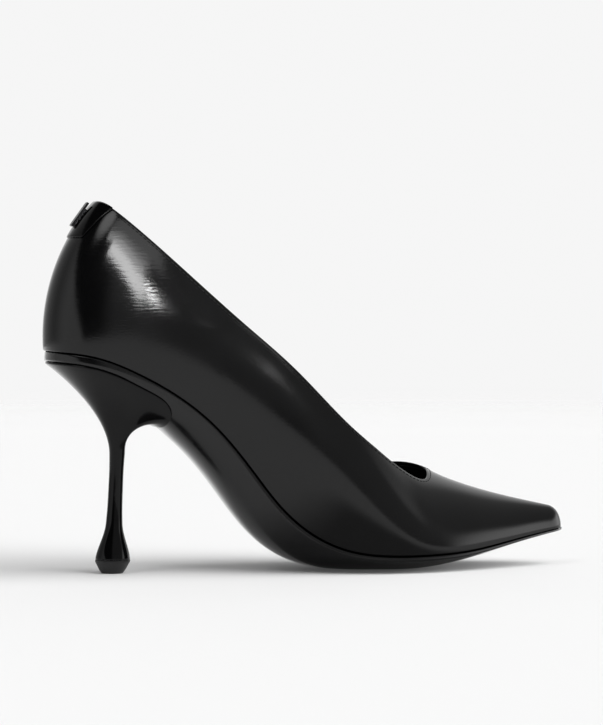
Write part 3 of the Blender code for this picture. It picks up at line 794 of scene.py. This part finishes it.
def build_insole(material):
    """The sock and board: a sheet in the sole's hollow face, a little puffed, with a rolled rim."""
    front = LENGTH - INSOLE_TOE
    s = stations(INSOLE_INSET, front, INSOLE_GRID)
    outer, inner = outline(s, -INSOLE_INSET, INSOLE_INSET, front)
    across, y = spread(outer, inner, INSOLE_GRID.across)
    puff = INSOLE_THICK * np.sqrt(1 - np.abs(across) ** INSOLE_POWER)
    rings = np.concatenate([sole_top(s, y, GAP), sole_top(s, y[:, ::-1], GAP + puff[:, ::-1])], axis=1)
    add_piece("sock_insole", rings, capped(rings), material, ["insole"])


def rim(angle):
    """The heel seat's outline on the sole as distance from its middle: a superellipse, round behind, square
    in front with a breast that curves in."""
    front, side = np.cos(angle), np.abs(np.sin(angle))
    power = np.where(front > 0, RIM_FRONT_POWER, HEEL_POWER)
    length = np.where(front > 0, RIM_FRONT, RIM_BACK)
    reach = (np.abs(front / length) ** power + (side / RIM_SIDE) ** power) ** (-1 / power)
    return reach * (1 - BREAST_DENT * np.maximum(front, 0) ** BREAST_POWER)


def rim_angles(count):
    """Angles that step evenly along the heel seat's outline."""
    fine = np.linspace(0, 2 * math.pi, RIM_SAMPLES)
    reach = rim(fine)
    way = way_along(np.stack([reach * np.cos(fine), reach * np.sin(fine)], axis=-1))
    return np.interp(np.linspace(0, way[-1], count, endpoint=False), way, fine)


def flare_value(name, angle):
    """A value of the flare round the heel, mixed from its values at the back, the sides and the front."""
    back, side, front = (getattr(flare, name) for flare in (FLARE_BACK, FLARE_SIDE, FLARE_FRONT))
    ahead = (1 + np.cos(angle)) / 2
    return back + (front - back) * ahead + (side - (back + front) / 2) * np.sin(angle) ** 2


def round_rings(heights, radii, angle):
    """Rings of a turned shape on the stem's slanting line."""
    x = STEM_FOOT + STEM_TILT * heights[:, None] + radii[:, None] * np.cos(angle)
    return np.stack(np.broadcast_arrays(x, radii[:, None] * np.sin(angle), heights[:, None]), axis=-1)


def turned_radius(table):
    """The spline of a turned profile's radius over its height."""
    rows = sorted(table)
    return smooth_line([row.height for row in rows], [row.radius for row in rows])


def build_heel(material):
    """The heel block as rings from top to bottom: a seat that follows the sole, a flare of cubics, then a
    slim stem and a drop whose radius is a spline of height."""
    angle = rim_angles(HEEL_SIDES)
    reach = np.sin(np.linspace(0, math.pi / 2, SEAT_ROWS))[:, None] * rim(angle)
    seat = underside(RIM_CENTRE + reach * np.cos(angle), reach * np.sin(angle), GAP)
    start = seat[-1] - LIP * UP
    stem, tip = DROP[0], DROP[-1]
    end = round_rings(np.array([stem.height]), np.array([stem.radius]), angle)[0]
    dip, leave, arrive = (flare_value(name, angle)[:, None] for name in Flare._fields)
    step = seat[-2] - seat[-1]
    level = step * (1, 1, 0)
    run = np.linalg.norm(level, axis=-1, keepdims=True)
    sole_dip = np.degrees(np.arctan2(-step[:, 2:], run))
    dip = np.radians(np.maximum(dip, sole_dip + SEAT_CLEAR))
    first = start + leave * (level / run * np.cos(dip) - UP * np.sin(dip))
    second = end + arrive * UP
    b0, b1, b2, b3 = cubic_weights(np.linspace(0, 1, FLARE_ROWS)[:, None, None])
    flare = b0 * start + b1 * first + b2 * second + b3 * end
    heights = np.linspace(stem.height, tip.height, STEM_ROWS)[1:]
    drop = round_rings(heights, turned_radius(DROP)(heights), angle)
    foot = round_rings(np.full(2, tip.height), np.array([tip.radius - LIP, 0]), angle)
    rings = np.concatenate([seat, flare, drop, foot])
    add_piece("lacquered_heel", rings, ring_faces(rings), material, ["heel"])


def build_top_piece(material):
    """The wear piece: a turned profile, its rows joined by a spline, flat on the floor."""
    radius = turned_radius(TOP_PIECE)
    heights = np.linspace(TOP_PIECE[0].height, 0, TOP_PIECE_ROWS)
    angle = np.linspace(0, 2 * math.pi, TOP_PIECE_SIDES, endpoint=False)
    top = round_rings(np.full(2, heights[0]), np.array([0, radius(heights[0]) - LIP / 2]), angle)
    bottom = round_rings(np.zeros(1), np.zeros(1), angle)
    rings = np.concatenate([top, round_rings(heights, radius(heights), angle), bottom])
    add_piece("rubber_top_piece", rings, ring_faces(rings), material, ["top_piece"])


def tab_points(lift, rows, columns):
    """The patch's grid: on the upper's own heel wall, lifted off it, from a foot at the back up to the
    topline. Also its outward normals."""
    swing = np.radians(np.linspace(-TAB_TOP_ANGLE, TAB_TOP_ANGLE, columns))
    angle = math.pi / 2 + swing
    top = heel_edge(angle)
    foot = height_at(heel_point(angle[:, None], FINE[None]), lambda x: np.full_like(x, TAB_FOOT))
    side = np.clip((np.abs(np.degrees(swing)) - TAB_FOOT_ANGLE) / (TAB_TOP_ANGLE - TAB_FOOT_ANGLE), 0, 1)
    foot = foot + (top - foot) * TAB_SIDE * side
    u = foot + (top - foot) * np.linspace(0, 1, rows)[:, None]
    along = heel_point(angle + SMALL, u) - heel_point(angle - SMALL, u)
    up = heel_point(angle, u + SMALL) - heel_point(angle, u - SMALL)
    out = unit(np.cross(up, along))
    return heel_point(angle, u) + lift * out, out


def build_back_tab(material):
    """The patch: two faces of its grid, the outer one thinned at its rim so that the cut edge is round."""
    inner, out = tab_points(GAP, TAB_ROWS, TAB_COLUMNS)
    r, c = (np.minimum(np.arange(n), np.arange(n)[::-1]) for n in (TAB_ROWS, TAB_COLUMNS))
    rim_share = np.minimum(np.minimum(r[:, None], c) / TAB_ROUND, 1)[..., None]
    outer = inner + out * TAB_THICK * (TAB_CUT + (1 - TAB_CUT) * np.sqrt(1 - (1 - rim_share) ** 2))
    count = TAB_ROWS * TAB_COLUMNS
    grid = np.arange(count).reshape(TAB_ROWS, TAB_COLUMNS)
    border = np.concatenate([grid[0, :-1], grid[:-1, -1], grid[-1, :0:-1], grid[:0:-1, 0]])
    after = np.roll(border, -1)
    wall = np.stack([border, after, after + count, border + count], axis=-1)
    one = quads(TAB_ROWS, TAB_COLUMNS)
    faces = np.concatenate([one, one + count, wall])
    add_piece("calf_back_tab", np.stack([inner, outer]), faces, material, ["back_tab"])


def build_back_bar(material):
    """The bar: a superellipse section carried along its length and drawn in at both ends, as a pressed
    metal bar. A foot of the same make fills most of the space down to the patch, whose curve it follows."""
    low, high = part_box("back_bar")
    middle = np.array((low + high) / 2) / MM + (LENGTH / 2, 0, 0)
    tilt = math.radians(BAR_TILT)
    out = np.array([-math.cos(tilt), 0, math.sin(tilt)])
    along = np.array([math.sin(tilt), 0, math.cos(tilt)])
    side = np.array([0.0, 1.0, 0.0])
    patch = tab_points(GAP + TAB_THICK, FOOT_SAMPLES, 3)[0][:, 1] - middle
    t = np.sin(np.linspace(-math.pi / 2, math.pi / 2, BAR_ROWS))
    half = (1 - np.abs(t) ** BAR_END_POWER)[:, None] ** (1 / BAR_END_POWER) / 2
    turn = np.linspace(0, 2 * math.pi, BAR_SIDES, endpoint=False)
    wide, deep = (half * np.sign(w) * np.abs(w) ** (2 / BAR_POWER) for w in (np.cos(turn), np.sin(turn)))
    ends = np.array([(-BAR_LENGTH / 2, BAR_LENGTH / 2), FOOT_ENDS])
    runs = ends.mean(axis=1)[:, None] + np.diff(ends) / 2 * t
    reach = np.interp(runs[1], patch @ along, patch @ out) - FOOT_SINK
    centres = np.stack([np.zeros_like(t), reach / 2])
    depths = np.stack([np.full_like(t, BAR_THICK), -reach])
    widths = np.array([BAR_WIDTH, FOOT_WIDTH])
    points = (
        middle
        + runs[..., None, None] * along
        + (widths[:, None, None] * wide)[..., None] * side
        + (centres[..., None] + depths[..., None] * deep)[..., None] * out
    )
    one = quads(BAR_ROWS, BAR_SIDES, close_columns=True)
    faces = np.concatenate([one, one + BAR_ROWS * BAR_SIDES])
    add_piece("metal_back_bar", points, faces, material, ["back_bar"])


# Materials


class Shade:
    """An output socket for use in Python expressions: arithmetic on it adds Math nodes to its tree."""

    def __init__(self, tree, socket=None):
        self.tree = tree
        self.socket = socket

    def node(self, kind, inputs=(), output=0, **settings):
        """Adds a node: sets its settings, then its sockets' values or links. Returns one output."""
        made = self.tree.nodes.new("ShaderNode" + kind)
        for name, value in settings.items():
            setattr(made, name, value)
        for name, value in dict(inputs).items():
            self.feed(made.inputs[name], value)
        return Shade(self.tree, made.outputs[output])

    def feed(self, socket, value):
        """Links a wire to a socket, or sets the socket to a plain value."""
        if isinstance(value, Shade):
            self.tree.links.new(value.socket, socket)
        else:
            socket.default_value = value

    def maths(self, operation, first, second):
        """A Math node on two wires or numbers."""
        return self.node("Math", {0: first, 1: second}, operation=operation)

    def __add__(self, other):
        return self.maths("ADD", self, other)

    def __sub__(self, other):
        return self.maths("SUBTRACT", self, other)

    def __rsub__(self, other):
        return self.maths("SUBTRACT", other, self)

    def __mul__(self, other):
        return self.maths("MULTIPLY", self, other)

    __radd__ = __add__
    __rmul__ = __mul__

    def between(self, low, high):
        """0 below low, 1 above high, smooth between."""
        limits = {"Value": self, "From Min": low, "From Max": high}
        return self.node("MapRange", limits, interpolation_type="SMOOTHSTEP")

    def axis(self, name):
        """One axis of a vector wire, X, Y or Z."""
        return self.node("SeparateXYZ", {0: self}, name)

    def stretched(self, scale):
        """A vector wire with each axis scaled."""
        return self.node("VectorMath", {0: self, 1: scale}, operation="MULTIPLY")

    def noise(self, scale, detail, roughness=0.5):
        """Noise over a vector wire."""
        inputs = {"Vector": self, "Scale": scale, "Detail": detail, "Roughness": roughness}
        return self.node("TexNoise", inputs)

    def relief(self, strength, distance):
        """The normal of a face on which this wire is a height."""
        return self.node("Bump", {"Height": self, "Strength": strength, "Distance": distance})

    def tones(self, colour, dark, light):
        """A colour that this wire takes from a darker to a lighter share of itself."""
        low, high = ((*(c * share for c in colour), 1) for share in (dark, light))
        return self.node("Mix", {0: self, 6: low, 7: high}, 2, data_type="RGBA")


def new_material(name, finish):
    """A material with one Principled shader. finish holds the values that are the same all over. Also
    returns a wire of Object coordinates and the shader's sockets."""
    material = bpy.data.materials.new(name)
    material.use_nodes = True
    shader = material.node_tree.nodes["Principled BSDF"]
    for socket, value in finish.items():
        shader.inputs[socket].default_value = value
    place = Shade(material.node_tree).node("TexCoord", output="Object")
    return material, place, shader.inputs


def calf(name, colour, roughness, grain, shine):
    """Smooth calf: faint pores and cloudy gloss, with fine level wrinkles on the quarter, where the hide
    was pulled."""
    material, place, sockets = new_material(name, {"Specular IOR Level": shine})
    cells = {"Vector": place, "Scale": 1 / grain, "Smoothness": 0.6}
    pores = place.node("TexVoronoi", cells, feature="SMOOTH_F1")
    cloud = place.noise(scale=55.0, detail=3.0)
    wrinkles = place.stretched((150.0, 150.0, 1100.0)).noise(scale=1.0, detail=3.0, roughness=0.55)
    patches = place.noise(scale=28.0, detail=1.0).between(0.42, 0.62)
    quarter = (1 - place.axis("X").between(*QUARTER_X)) * place.axis("Z").between(*QUARTER_Z)
    height = pores * 0.12 + wrinkles * (0.7 + patches * 0.3) * quarter
    place.feed(sockets["Normal"], height.relief(strength=0.36, distance=0.00012))
    place.feed(sockets["Roughness"], cloud * 0.08 + (roughness - 0.04))
    place.feed(sockets["Base Color"], cloud.between(0.3, 0.7).tones(colour, dark=0.8, light=1.25))
    return material


def lacquer(name, colour, roughness):
    """Gloss lacquer on the heel block, with a trace of orange peel and a few dull spots."""
    material, place, sockets = new_material(name, {"Specular IOR Level": 0.2})
    peel = place.noise(scale=420.0, detail=2.0)
    haze = place.noise(scale=90.0, detail=4.0)
    place.feed(sockets["Normal"], peel.relief(strength=0.06, distance=0.0001))
    place.feed(sockets["Roughness"], haze.between(0.45, 0.75) * 0.06 + roughness)
    place.feed(sockets["Base Color"], haze.between(0.3, 0.8).tones(colour, dark=1.0, light=1.4))
    return material


def sole_leather(name, colour, roughness):
    """Polished sole leather: fine lengthwise streaks and a soft waxed gloss, burnished along the middle."""
    material, place, sockets = new_material(name, {"Specular IOR Level": 0.4, "Coat Roughness": 0.15})
    streaks = place.stretched((60.0, 700.0, 300.0)).noise(scale=1.0, detail=4.0)
    cloud = place.noise(scale=45.0, detail=3.0)
    y = place.axis("Y")
    place.feed(sockets["Normal"], streaks.relief(strength=0.12, distance=0.0001))
    place.feed(sockets["Roughness"], streaks * 0.1 + cloud * 0.1 + (roughness - 0.1))
    place.feed(sockets["Coat Weight"], 1 - (y * y).between(0.00002, 0.0003))
    place.feed(sockets["Base Color"], streaks.between(0.3, 0.7).tones(colour, dark=1.0, light=1.5))
    return material


def matte(name, colour, roughness, grain):
    """A dull fine-grained face: lining leather, rubber or thread."""
    material, place, sockets = new_material(name, {"Specular IOR Level": 0.4})
    grains = place.node("TexVoronoi", {"Vector": place, "Scale": 1 / grain})
    cloud = place.noise(scale=80.0, detail=4.0)
    place.feed(sockets["Normal"], grains.relief(strength=0.3, distance=0.0002))
    place.feed(sockets["Roughness"], cloud * 0.2 + (roughness - 0.1))
    place.feed(sockets["Base Color"], cloud.between(0.3, 0.7).tones(colour, dark=0.8, light=1.3))
    return material


def gunmetal(name, colour, roughness):
    """Dark plated metal, brushed along its length."""
    material, place, sockets = new_material(name, {"Metallic": 1.0})
    brush = place.stretched((500.0, 4000.0, 500.0)).noise(scale=1.0, detail=3.0)
    place.feed(sockets["Normal"], brush.relief(strength=0.1, distance=0.0001))
    place.feed(sockets["Roughness"], brush * 0.2 + (roughness - 0.1))
    place.feed(sockets["Base Color"], brush.between(0.2, 0.8).tones(colour, dark=0.8, light=1.2))
    return material


# Stage


def aim(item, place, target, roll=0.0):
    """Puts an object at a place, turns its -Z axis to a target and rolls it about that axis."""
    item.location = place
    item.rotation_mode = "QUATERNION"
    turn = (Vector(target) - Vector(place)).to_track_quat("-Z", "Y")
    item.rotation_quaternion = turn @ Quaternion((0, 0, 1), math.radians(roll))


def softbox(name, place, target, size, strength, roll=0.0):
    """A rectangular area light of a radiance, whatever its size."""
    light = bpy.data.lights.new(name, "AREA")
    light.shape = "RECTANGLE"
    light.size, light.size_y = size
    light.energy = strength * math.pi * size[0] * size[1]
    item = add_object(name, light)
    item.visible_camera = False
    aim(item, place, target, roll)
    return item


def strip_lights(glow):
    """The panels beside the quarter, and a small spot that draws the strip's highlight out to its tail."""
    roll = math.radians(PANEL_ROLL)
    along = Vector((math.cos(roll), 0, math.sin(roll)))
    above = Vector((-math.sin(roll), 0, math.cos(roll)))
    lights = []
    for panel in PANELS:
        place = Vector(PANEL_PLACE) + along * panel.along + above * panel.above
        ahead = place + Vector((0, 1, 0))
        size = (panel.length, panel.height)
        lights.append(softbox(panel.name, place, ahead, size, glow * panel.share, PANEL_ROLL))
    tail = softbox("tail", TAIL_PLACE, TAIL_TARGET, TAIL_SIZE, glow * TAIL_SHARE)
    tail.data.spread = math.radians(TAIL_SPREAD)
    return [*lights, tail]


def light_only(name, items, pieces):
    """Lets lights shine on some pieces alone, as flags and grids do in a studio."""
    lit = bpy.data.collections.new(name)
    for piece in pieces:
        lit.objects.link(piece)
    for item in items:
        item.light_linking.receiver_collection = lit


def stage_sheet(name, axes, material, closed):
    """A sheet of the stage from the x, y and z of a grid, whose columns may close to rings."""
    points = np.stack(np.broadcast_arrays(*axes), axis=-1)
    mesh = bpy.data.meshes.new(name)
    faces = quads(*points.shape[:2], close_columns=closed)
    mesh.from_pydata(points.reshape(-1, 3).tolist(), [], faces.tolist())
    mesh.materials.append(material)
    sheet = add_object(name, mesh)
    return sheet


def add_floor(colour):
    """A round pale floor, a grid of rings, that fades into the backdrop at its rim."""
    turn = np.linspace(0, 2 * math.pi, FLOOR_SIDES, endpoint=False)
    reach = np.array(FLOOR_RINGS)[:, None] * FLOOR_RADIUS
    finish = {"Base Color": (*colour, 1), "Roughness": 0.9, "Specular IOR Level": 0.1}
    glow = {"Emission Color": (1, 1, 1, 1), "Emission Strength": 0.05}
    material, place, sockets = new_material("floor", finish | glow)
    far = place.node("VectorMath", {0: place}, "Value", operation="LENGTH")
    start, end = (share * FLOOR_RADIUS for share in FLOOR_FADE)
    place.feed(sockets["Alpha"], 1 - far.between(start, end))
    return stage_sheet("floor", (reach * np.cos(turn), reach * np.sin(turn), -FLOOR_DROP), material, True)


def add_floor_shade_sheet():
    """A dark sheet flat on the floor before the shoe, seen in reflections alone: painted shade of the floor
    next to the shoe. It deepens the walls near the sole, and fades out at its rim."""
    finish = {"Base Color": (0.05, 0.05, 0.05, 1), "Roughness": 1.0, "Specular IOR Level": 0.0}
    material, place, sockets = new_material("flag", finish)
    x, y = place.axis("X"), place.axis("Y")
    # painted shade: full against the shoe's near side, fading away from it and towards both ends
    fade = x.between(*FLOOR_SHADE_BACK) * (1 - x.between(*FLOOR_SHADE_FRONT)) * y.between(*FLOOR_SHADE_NEAR)
    place.feed(sockets["Alpha"], fade * FLOOR_SHADE_COVER)
    flag = stage_sheet("flag", (np.array(FLOOR_SHADE_X), np.array(FLOOR_SHADE_Y)[:, None], FLOOR_SHADE_LIFT), material, False)
    flag.visible_camera = flag.visible_shadow = flag.visible_diffuse = False


def light_room(studio):
    """The surroundings by direction: white behind and below, a white wall behind the heel that slants down
    to the camera's side, a bright reflector before the toe, a lamp high behind the heel, and a dim room
    round the camera."""
    world = bpy.data.worlds.new("studio")
    world.use_nodes = True
    bpy.context.scene.world = world
    way = Shade(world.node_tree).node("TexCoord", output="Generated")
    x, y, z = (way.axis(name) for name in "XYZ")
    wall = (y * 0.55 - x * 0.53 - z).between(-0.05, 0.06)
    shaded = wall * (1 - x.between(-0.35, 0.05)) * (1 - y.between(-0.25, 0.5) * 0.65)
    behind = (x * 0.5 + y).between(0.7, 0.95) * (x * 1.2 + y).between(0.7, 1.0)
    below = 1 - z.between(-0.09, -0.04)
    white = 1 - (1 - shaded) * (1 - behind) * (1 - below)
    dim = x.between(-0.42, -0.1) * (z.between(0.0, 0.2) * 0.15 + 0.85) * studio.room + 0.02
    toe = x.between(0.78, 0.9) * (1 - z.between(0.28, 0.52)) * studio.reflector
    lamp = (z * 0.788 - x * 0.516 - y * 0.335).between(0.955, 0.995) * studio.lamp
    level = white * studio.backdrop + (1 - white) * (dim + toe + lamp)
    background = world.node_tree.nodes["Background"].inputs
    way.feed(background["Strength"], level)
    way.feed(background["Color"], (1, 1, 1, 1))


def add_sun(strength, floor):
    """A broad light from the camera's side and the toe's, for the floor alone: it lays the soft shadow."""
    light = bpy.data.lights.new("sun", "SUN")
    light.energy = strength
    light.angle = math.radians(SUN_ANGLE)
    item = add_object("sun", light)
    aim(item, SUN_PLACE, (0, 0, 0))
    light_only("lit_by_sun", [item], [floor])


def add_camera(azimuth, elevation, distance):
    """A long lens at the photo's angle: its target and shift put the shoe where the picture has it."""
    target = (Vector(TARGET) - Vector((LENGTH / 2, 0, 0))) * MM
    camera = bpy.data.cameras.new("camera")
    camera.sensor_width = SENSOR
    camera.lens = SENSOR * distance / MM / PIXEL / PICTURE[1]
    camera.shift_x = (PICTURE[0] / 2 - TARGET_PIXEL[0]) / PICTURE[1]
    camera.shift_y = (TARGET_PIXEL[1] - PICTURE[1] / 2) / PICTURE[1]
    camera.clip_start, camera.clip_end = distance / CLIP, distance * CLIP
    level = math.cos(elevation)
    back = Vector((math.sin(azimuth) * level, -math.cos(azimuth) * level, math.sin(elevation)))
    item = add_object("camera", camera)
    aim(item, target + back * distance, target)
    bpy.context.scene.camera = item


# Add-on


def number_prop(name, text, value, **more):
    """A number that a user may change. The next helpers give it a unit or limits."""
    return bpy.props.FloatProperty(name=name, description=text, default=value, **more)


def length_prop(name, text, value):
    return number_prop(name, text, value, unit="LENGTH", precision=5)


def angle_prop(name, text, degrees):
    return number_prop(name, text, math.radians(degrees), subtype="ANGLE")


def share_prop(name, text, value):
    return number_prop(name, text, value, min=0, max=1, subtype="FACTOR")


def glow_prop(name, text, value):
    return number_prop(name, text, value, min=0)


def colour_prop(name, text, value):
    limits = {"subtype": "COLOR", "size": 3, "min": 0, "max": 1}
    return bpy.props.FloatVectorProperty(name=name, description=text, default=value, **limits)


class PumpFinish(bpy.types.PropertyGroup):
    """Colours and gloss of the shoe's materials, and the size of its stitches."""

    leather: colour_prop("Leather", "Colour of the upper", (0.001, 0.001, 0.0011))
    leather_rough: share_prop("Leather roughness", "How dull the upper is", 0.115)
    grain: length_prop("Grain", "Size of the leather's pores", 0.0007)
    lacquer: colour_prop("Lacquer", "Colour of the heel", (0.002, 0.002, 0.0022))
    sole: colour_prop("Sole", "Colour of the outsole", (0.003, 0.003, 0.0032))
    lining: colour_prop("Lining", "Colour of lining and sock", (0.004, 0.004, 0.004))
    rubber: colour_prop("Top piece", "Colour of the wear piece", (0.008, 0.008, 0.0085))
    thread: colour_prop("Thread", "Colour of the stitches", (0.004, 0.004, 0.004))
    metal: colour_prop("Bar", "Colour of the metal bar", (0.035, 0.035, 0.037))
    stitch_pitch: length_prop("Stitch pitch", "Distance from stitch to stitch", 0.0022)
    stitch_length: length_prop("Stitch length", "Length of one stitch", 0.0017)
    thread_radius: length_prop("Thread radius", "Half the thread's thickness", 0.00023)
    stitch_inset: length_prop("Stitch inset", "Distance of the seam from the topline", 0.0016)


class PumpStudio(bpy.types.PropertyGroup):
    """Light, floor and camera."""

    azimuth: angle_prop("Azimuth", "Camera's turn round the shoe", -14.0)
    elevation: angle_prop("Elevation", "Camera's angle above the floor", 2.0)
    distance: length_prop("Distance", "From the camera to the shoe", 1.5)
    floor: colour_prop("Floor", "Colour of the floor", (0.71, 0.71, 0.71))
    backdrop: share_prop("Backdrop", "Brightness behind and below", 0.92)
    room: share_prop("Room", "Brightness of the room round the camera", 0.35)
    reflector: glow_prop("Reflector", "Brightness of the reflector before the toe", 2.1)
    key: glow_prop("Key", "Brightness of the main strip softbox", 18.0)
    lamp: glow_prop("Lamp", "Brightness of the lamp high behind the heel", 3.0)
    sun: glow_prop("Sun", "Strength of the light on the floor", 3.8)


class PUMP_OT_upper(bpy.types.Operator):
    """Builds the leather upper, its lining and the topline's stitches"""

    bl_idname = "pump.upper"
    bl_label = "Upper"

    def execute(self, context):
        finish = context.scene.pump_finish
        build_upper(calf("upper_calf", finish.leather, finish.leather_rough, finish.grain, shine=0.36))
        build_lining(matte("lining_leather", finish.lining, roughness=0.6, grain=0.0008))
        build_stitches(matte("thread", finish.thread, roughness=0.5, grain=0.0003), finish)
        return {"FINISHED"}


class PUMP_OT_sole(bpy.types.Operator):
    """Builds the outsole and the insole"""

    bl_idname = "pump.sole"
    bl_label = "Sole and insole"

    def execute(self, context):
        finish = context.scene.pump_finish
        build_outsole(sole_leather("outsole_leather", finish.sole, roughness=0.18))
        build_insole(matte("sock_leather", finish.lining, roughness=0.55, grain=0.0008))
        return {"FINISHED"}


class PUMP_OT_heel(bpy.types.Operator):
    """Builds the lacquered heel and its wear piece"""

    bl_idname = "pump.heel"
    bl_label = "Heel"

    def execute(self, context):
        finish = context.scene.pump_finish
        build_heel(lacquer("heel_lacquer", finish.lacquer, roughness=0.07))
        build_top_piece(matte("top_piece_rubber", finish.rubber, roughness=0.42, grain=0.0004))
        return {"FINISHED"}


class PUMP_OT_back_trim(bpy.types.Operator):
    """Builds the patch on the counter and its bar"""

    bl_idname = "pump.back_trim"
    bl_label = "Back trim"

    def execute(self, context):
        finish = context.scene.pump_finish
        build_back_tab(calf("tab_calf", finish.leather, finish.leather_rough, finish.grain, shine=0.14))
        build_back_bar(gunmetal("bar_metal", finish.metal, roughness=0.3))
        return {"FINISHED"}


class PUMP_OT_stage(bpy.types.Operator):
    """Sets the floor, the studio light and the camera"""

    bl_idname = "pump.stage"
    bl_label = "Stage"

    def execute(self, context):
        studio = context.scene.pump_studio
        context.scene.view_settings.view_transform = "Standard"
        floor = add_floor(studio.floor)
        # a dark sheet seen only in reflections: painted shade of the floor next to the shoe
        add_floor_shade_sheet()
        light_room(studio)
        leather = [bpy.data.objects[name] for name in LEATHER_PIECES]
        light_only("lit_by_strip", strip_lights(studio.key), leather)
        add_sun(studio.sun, floor)
        add_camera(studio.azimuth, studio.elevation, studio.distance)
        return {"FINISHED"}


class PUMP_PT_sidebar(bpy.types.Panel):
    """Lists the shoe's pieces and finishes"""

    bl_label = "Drop Heel Pump"
    bl_idname = "PUMP_PT_sidebar"
    bl_space_type = "VIEW_3D"
    bl_region_type = "UI"
    bl_category = "Pump"

    def draw(self, context):
        for operator in OPERATORS:
            self.layout.operator(operator.bl_idname)
        for group in (context.scene.pump_finish, context.scene.pump_studio):
            box = self.layout.box()
            for name in group.bl_rna.properties.keys():
                if name not in ("name", "rna_type"):
                    box.prop(group, name)


OPERATORS = (PUMP_OT_upper, PUMP_OT_sole, PUMP_OT_heel, PUMP_OT_back_trim, PUMP_OT_stage)
CLASSES = (PumpFinish, PumpStudio, *OPERATORS, PUMP_PT_sidebar)


def register():
    for item in CLASSES:
        bpy.utils.register_class(item)
    bpy.types.Scene.pump_finish = bpy.props.PointerProperty(type=PumpFinish)
    bpy.types.Scene.pump_studio = bpy.props.PointerProperty(type=PumpStudio)


def unregister():
    del bpy.types.Scene.pump_studio
    del bpy.types.Scene.pump_finish
    for item in reversed(CLASSES):
        bpy.utils.unregister_class(item)


def main():
    register()
    for operator in OPERATORS:
        group, name = operator.bl_idname.split(".")
        getattr(getattr(bpy.ops, group), name)()


if __name__ == "__main__":
    main()
